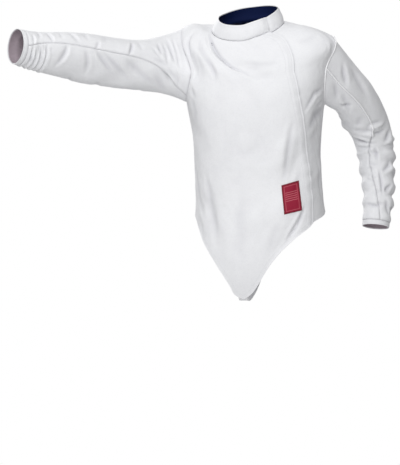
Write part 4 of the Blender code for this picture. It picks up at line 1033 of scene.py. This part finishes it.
def white_cloth():
    """Dense white cloth: close weave and slight slubs, with painted shade in deep creases, along its rolled-in
    seams and on its lines of stitches.
    """
    finish = Finish("white_cloth", {"Sheen Weight": 0.12, "Sheen Roughness": 0.45, "Specular IOR Level": 0.35})
    slubs = finish.noise(260, 2.0, 0.6)
    cloudy = finish.noise(9, 3.0, 0.5)
    seam = finish.measure("seam_gap").bell(SEAM_SHADE_REACH)
    stitch = finish.measure("stitch_gap")
    base = finish.blend(cloudy.below(0.5, 0.25), colour(0.80, 0.805, 0.825), colour(0.775, 0.78, 0.80))
    base = finish.blend(slubs.below(0.42, 0.12) * 0.35, base, colour(0.72, 0.725, 0.75))
    # painted shade in the troughs of creases and beside the flap's edge
    base = finish.blend(finish.measure("painted_shade") * 0.6, base, colour(0.53, 0.53, 0.57))
    # painted shade in the grooves of the rolled-in seams
    base = finish.blend(seam * 0.25, base, colour(0.50, 0.50, 0.53))
    # painted shade on the lines of stitches, where they sink into the cloth
    base = finish.blend(stitch.bell(STITCH_SHADE) * 0.22, base, colour(0.58, 0.58, 0.61))
    finish.feed("Base Color", base)
    finish.feed("Roughness", 0.62 + 0.12 * slubs)
    pucker = finish.noise(190, 2.0, 0.5) * stitch.bell(PUCKER_REACH)
    soft = finish.bump(0.7 * pucker - stitch.bell(STITCH_DENT), 0.55, PUCKER_HEIGHT)
    threads = weave_height(finish, WEAVE) + 0.8 * slubs
    finish.feed("Normal", finish.bump(threads, 0.25, THREAD_HEIGHT, soft))
    return finish.material


def plain_cloth(name, light, dark, roughness, sheen):
    """Smooth cloth of one colour, with a fine weave."""
    finish = Finish(name, {"Sheen Weight": sheen, "Sheen Roughness": 0.35, "Specular IOR Level": 0.15})
    slubs = finish.noise(340, 2.0, 0.6)
    finish.feed("Base Color", finish.blend(slubs, dark, light))
    finish.feed("Roughness", roughness + 0.12 * slubs)
    threads = weave_height(finish, LINING_WEAVE) + 0.8 * slubs
    finish.feed("Normal", finish.bump(threads, 0.3, THREAD_HEIGHT))
    return finish.material


LABEL_SIZE = (0.0470, 0.0737)
LABEL_BORDER = 3.4 * MM
LABEL_FRAME = 6.3 * MM      # how far in from its edge the frame line runs
FRAME_WIDTH = 0.6 * MM
FIELD_INSET = 2.0 * MM      # from the frame line to the ends of the stripes
STRIPE_MIDDLE = 0.040       # height of the middle of the label's plain stripes
STRIPE_PITCH = 5.2 * MM
STRIPES_HALF = 12.4 * MM
TWILL = 1.1 * MM            # pitch of the red twill's ribs
BORDER_CORD = 1.0 * MM      # pitch of the border's stitches


def label_cloth():
    """Red twill with a dark stitched border, a thin frame line and plain stripes."""
    finish = Finish("red_label", {"Sheen Weight": 0.05, "Specular IOR Level": 0.3})
    across, up = finish.places()
    width, height = LABEL_SIZE
    edge = across.least(width - across).least(up.least(height - up))
    slubs = finish.noise(420, 2.0, 0.6)
    twill = (across + up).wave(TWILL)
    border = edge.below(LABEL_BORDER, 0.25 * MM)
    frame_line = (edge - LABEL_FRAME).bell(FRAME_WIDTH)
    outside = edge.below(LABEL_FRAME + FIELD_INSET, 0.2 * MM)
    away = abs(up - STRIPE_MIDDLE)
    rows = (up - STRIPE_MIDDLE).wave(STRIPE_PITCH).below(0.55, 0.12)
    stripes = (1 - rows) * away.below(STRIPES_HALF, 0.3 * MM) * (1 - outside)
    base = finish.blend(0.5 + 0.3 * twill, colour(0.26, 0.004, 0.027), colour(0.31, 0.008, 0.039))
    base = finish.blend(stripes * 0.75, base, colour(0.66, 0.20, 0.23))
    base = finish.blend(frame_line * 0.8, base, colour(0.62, 0.17, 0.20))
    base = finish.blend(border, base, colour(0.17, 0.006, 0.018))
    base = finish.blend(slubs * 0.3, base, colour(0.30, 0.01, 0.03))
    finish.feed("Base Color", base)
    finish.feed("Roughness", 0.62 + 0.1 * slubs)
    cords = (across - up).wave(BORDER_CORD) * border
    relief = cords + 0.5 * twill * (1 - border) + 0.8 * stripes + 0.8 * frame_line
    finish.feed("Normal", finish.bump(relief, 0.5, 0.25 * MM))
    return finish.material


def white_thread():
    """Sewing thread, uneven along its twist."""
    finish = Finish("white_thread", {"Sheen Weight": 0.1, "Specular IOR Level": 0.4})
    twist = finish.noise(900, 1.0, 0.5)
    finish.feed("Base Color", finish.blend(twist, colour(0.84, 0.84, 0.86), colour(0.74, 0.74, 0.77)))
    finish.feed("Roughness", 0.5 + 0.15 * twist)
    return finish.material


def zip_plastic():
    """The zip's white tape and coil, a little cloudy."""
    finish = Finish("zip_plastic", {"Specular IOR Level": 0.5})
    cloudy = finish.noise(300, 2.0, 0.5)
    finish.feed("Base Color", finish.blend(cloudy, colour(0.78, 0.78, 0.80), colour(0.72, 0.72, 0.75)))
    finish.feed("Roughness", 0.38 + 0.12 * cloudy)
    finish.feed("Normal", finish.bump(cloudy, 0.2, 0.1 * MM))
    return finish.material


FINISHES = {
    WHITE: white_cloth(),
    NAVY: plain_cloth(NAVY, colour(0.0015, 0.009, 0.054), colour(0.001, 0.005, 0.039), 0.75, 0.0),
    GREY: plain_cloth(GREY, colour(0.43, 0.365, 0.405), colour(0.36, 0.305, 0.34), 0.70, 0.08),
    RED: label_cloth(),
}
# The pipings' white is painted lighter than the white cloth's: a painted highlight on their raised rolls.
PIPING_PAINTED_HIGHLIGHT = plain_cloth("piping_painted_highlight", colour(0.95, 0.95, 0.96), colour(0.88, 0.88, 0.90), 0.55, 0.10)
WHITE_THREAD = white_thread()


# The pieces.


def add_cloths(pipings):
    """Every piece of cloth with its stitches. The pipings are taken but not used."""
    for piece in PIECES:
        cloth = add_cloth(piece.node, FINISHES[piece.slot])
        parts = pipings if piece.node == "sleeve_left_upper" else []
        if any(EDGES[word].stitches for word in piece.edges.split()):
            parts = parts + [add_stitches(piece.node, WHITE_THREAD)]


PIPING_RADIUS = 2.2 * MM
PIPING_RISE = 1.9 * MM      # how far its middle stands over the seam
PIPING_SIDES = 8
PIPING_STEP = 2.5 * MM
PIPING_FADE = 30 * MM       # length over which a piping thins out to its end
ELBOW = 0.50                # share of the left sleeve's length where its piping ends


def add_piping(name, seam, outs, fades):
    """A thin roll of white cloth that stands out of a seam, and thins out at its end if it fades."""
    line = close_points(seam + outs * PIPING_RISE, PIPING_STEP)
    run = run_of(line)
    ways = unit(np.gradient(line, axis=0))
    outs = read_line(outs, np.linspace(0, 1, len(outs)), np.linspace(0, 1, len(line)))
    outs = unit(outs - np.sum(outs * ways, axis=-1, keepdims=True) * ways)
    sides = np.cross(ways, outs)
    thick = np.full(len(run), PIPING_RADIUS)
    if fades:
        thick *= np.sqrt(smooth((run[-1] - run) / PIPING_FADE))
    turns = np.linspace(0, 2 * math.pi, PIPING_SIDES + 1)[:, None]
    round_it = np.cos(turns) * outs[:, None] + np.sin(turns) * sides[:, None]
    build = bmesh.new()
    points = line[:, None] + thick[:, None, None] * round_it
    lay_grid(build, points, np.arange(PIPING_SIDES + 1) * PIPING_RADIUS, run)
    bmesh.ops.remove_doubles(build, verts=build.verts, dist=MERGE)
    bmesh.ops.holes_fill(build, edges=build.edges, sides=PIPING_SIDES)
    bmesh.ops.recalc_face_normals(build, faces=build.faces)
    return add_piece(name, as_mesh(name, build), PIPING_PAINTED_HIGHLIGHT)


def add_pipings():
    """The raised rolls round the left armhole and down the left sleeve's front seam, painted lighter than the
    cloth as a painted highlight.
    """
    upper, under = cloths["sleeve_left_upper"], cloths["sleeve_left_under"]
    armhole = np.concatenate([upper.points[0], under.points[0, 1:], upper.points[0, :1]])
    outs = np.concatenate([upper.normals[0], under.normals[0, 1:], upper.normals[0, :1]])
    down = int(np.searchsorted(upper.up, ELBOW * upper.up[-1]))
    return [
        add_piping("left_armhole_piping", armhole, outs, False),
        add_piping("left_sleeve_piping", upper.points[:down, -1], upper.normals[:down, -1], True),
    ]


ZIP_ROW = Piece("zip", 2, BELOW, "plain plain plain plain", LINING_SPACING, 0, LINING, "zip", "draped",
                (0.021, 0.512), None)
ZIP_COIL = 1.5 * MM         # pitch of the zip's teeth


def add_zip(plastic):
    """The zip on the left front's inner edge: its two tapes as one strip, and its closed coil."""
    cloth = Cloth(ZIP_ROW)
    cloths["zip"] = cloth
    cloth_edges["zip"] = [edge_distance(cloth, side) for side in range(4)]
    tape = add_piece("zip_tape", cloth_mesh("zip_tape", cloth), plastic)
    wall = tape.modifiers.new("wall", "SOLIDIFY")
    wall.thickness = LINING
    wall.offset = -1
    middle, outs = cloth.at(0.5 + 0 * cloth.up, cloth.up / cloth.up[-1])
    run = run_of(middle)
    at = np.arange(ZIP_COIL, run[-1] - ZIP_COIL, ZIP_COIL)
    centres = read_line(middle, run, at)
    outs = unit(read_line(outs, run, at))
    across = unit(np.cross(outs, np.gradient(centres, axis=0)))
    mesh = copies("zip_coil", thread_shape(), centres, across, outs)
    coil = add_piece("zip_coil", mesh, plastic)
    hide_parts("zip")


add_cloths(add_pipings())
add_zip(zip_plastic())


# The stage: a pale floor, soft light and the camera of the photograph.


FLOOR_LEVEL = -1.45         # a wearer's height below the neck
FLOOR_RADIUS = 1.7
FLOOR_FADE = (0.62, 0.36)   # middle and half the width of its fade, over its radius
AMBIENT = 0.36              # strength of the backdrop as light
BACKDROP = 1.0              # strength of the backdrop as it shows


def add_floor():
    """A pale round floor that fades into the backdrop."""
    finish = Finish("pale_floor", {"Specular IOR Level": 0.1})
    cloudy = finish.noise(3, 2.0, 0.5)
    finish.feed("Base Color", finish.blend(cloudy, colour(0.93, 0.93, 0.93), colour(0.90, 0.90, 0.90)))
    finish.feed("Roughness", 0.9 + 0.05 * cloudy)
    spot = finish.add("ShaderNodeTexCoord", output=3)
    level = finish.add("ShaderNodeVectorMath", {"operation": "MULTIPLY"}, {0: spot, 1: (1, 1, 0)})
    away = finish.add("ShaderNodeVectorMath", {"operation": "LENGTH"}, {0: level}, output=1)
    middle, half = FLOOR_FADE
    finish.feed("Alpha", away.below(middle * FLOOR_RADIUS, half * FLOOR_RADIUS))
    build = bmesh.new()
    bmesh.ops.create_circle(build, cap_ends=True, segments=96, radius=FLOOR_RADIUS)
    bmesh.ops.translate(build, verts=build.verts, vec=(0, 0, FLOOR_LEVEL))
    mesh = as_mesh("floor", build)
    mesh.materials.append(finish.material)
    floor = bpy.data.objects.new("floor", mesh)
    bpy.context.scene.collection.objects.link(floor)


AIM = Vector((-0.10, -0.05, -0.28))
LIGHTS = {                  # the place, width and power of each
    "front": ((0.6, -3.4, 1.4), 1.5, 58),
    "top": ((-0.2, -1.2, 3.0), 1.8, 32),
    "low": ((-0.6, -3.3, -0.6), 1.8, 25),
    "back": ((-2.4, 2.6, 1.6), 1.3, 75),
}


def add_light(name, place, size, power):
    """A round white soft light that faces the jacket."""
    lamp = bpy.data.lights.new(name, "AREA")
    lamp.shape = "DISK"
    lamp.size = size
    lamp.energy = power
    light = bpy.data.objects.new(name, lamp)
    light.location = place
    light.rotation_euler = (AIM - Vector(place)).to_track_quat("-Z", "Y").to_euler()
    bpy.context.scene.collection.objects.link(light)


def add_world():
    """A white backdrop all round, which lights the part less than it shows."""
    world = bpy.data.worlds.new("studio")
    world.use_nodes = True
    nodes, links = world.node_tree.nodes, world.node_tree.links
    shade = nodes["Background"]
    shade.inputs["Color"].default_value = colour(1.0, 1.0, 1.0)
    path = nodes.new("ShaderNodeLightPath")
    mix = nodes.new("ShaderNodeMix")
    mix.inputs["A"].default_value = AMBIENT
    mix.inputs["B"].default_value = BACKDROP
    links.new(path.outputs["Is Camera Ray"], mix.inputs["Factor"])
    links.new(mix.outputs["Result"], shade.inputs["Strength"])
    bpy.context.scene.world = world


PHOTO_WIDTH = 400
PHOTO_HEIGHT = 465
FOCAL_PIXELS = 1568.6       # the lens, in the photograph's pixels
CAMERA_AZIMUTH = math.radians(16)
CAMERA_RISE = math.radians(3)
CAMERA_AWAY = 4.0
ORIGIN_PIXEL = (247, 27)    # where the photograph shows the part's origin
SENSOR = 36.0


def add_camera():
    """The photograph's camera."""
    right = Vector((math.cos(CAMERA_AZIMUTH), math.sin(CAMERA_AZIMUTH), 0))
    back = Vector((
        math.sin(CAMERA_AZIMUTH) * math.cos(CAMERA_RISE),
        -math.cos(CAMERA_AZIMUTH) * math.cos(CAMERA_RISE),
        math.sin(CAMERA_RISE),
    ))
    up = back.cross(right)
    across = (ORIGIN_PIXEL[0] - PHOTO_WIDTH / 2) / FOCAL_PIXELS * CAMERA_AWAY
    above = (PHOTO_HEIGHT / 2 - ORIGIN_PIXEL[1]) / FOCAL_PIXELS * CAMERA_AWAY
    lens = bpy.data.cameras.new("camera")
    lens.sensor_width = SENSOR
    lens.lens = FOCAL_PIXELS / PHOTO_HEIGHT * SENSOR
    camera = bpy.data.objects.new("camera", lens)
    camera.location = back * CAMERA_AWAY - right * across - up * above
    camera.rotation_euler = (-back).to_track_quat("-Z", "Y").to_euler()
    bpy.context.scene.collection.objects.link(camera)
    bpy.context.scene.camera = camera


add_floor()
add_world()
for name, row in LIGHTS.items():
    add_light(name, *row)
add_camera()
bpy.context.scene.view_settings.view_transform = "Standard"
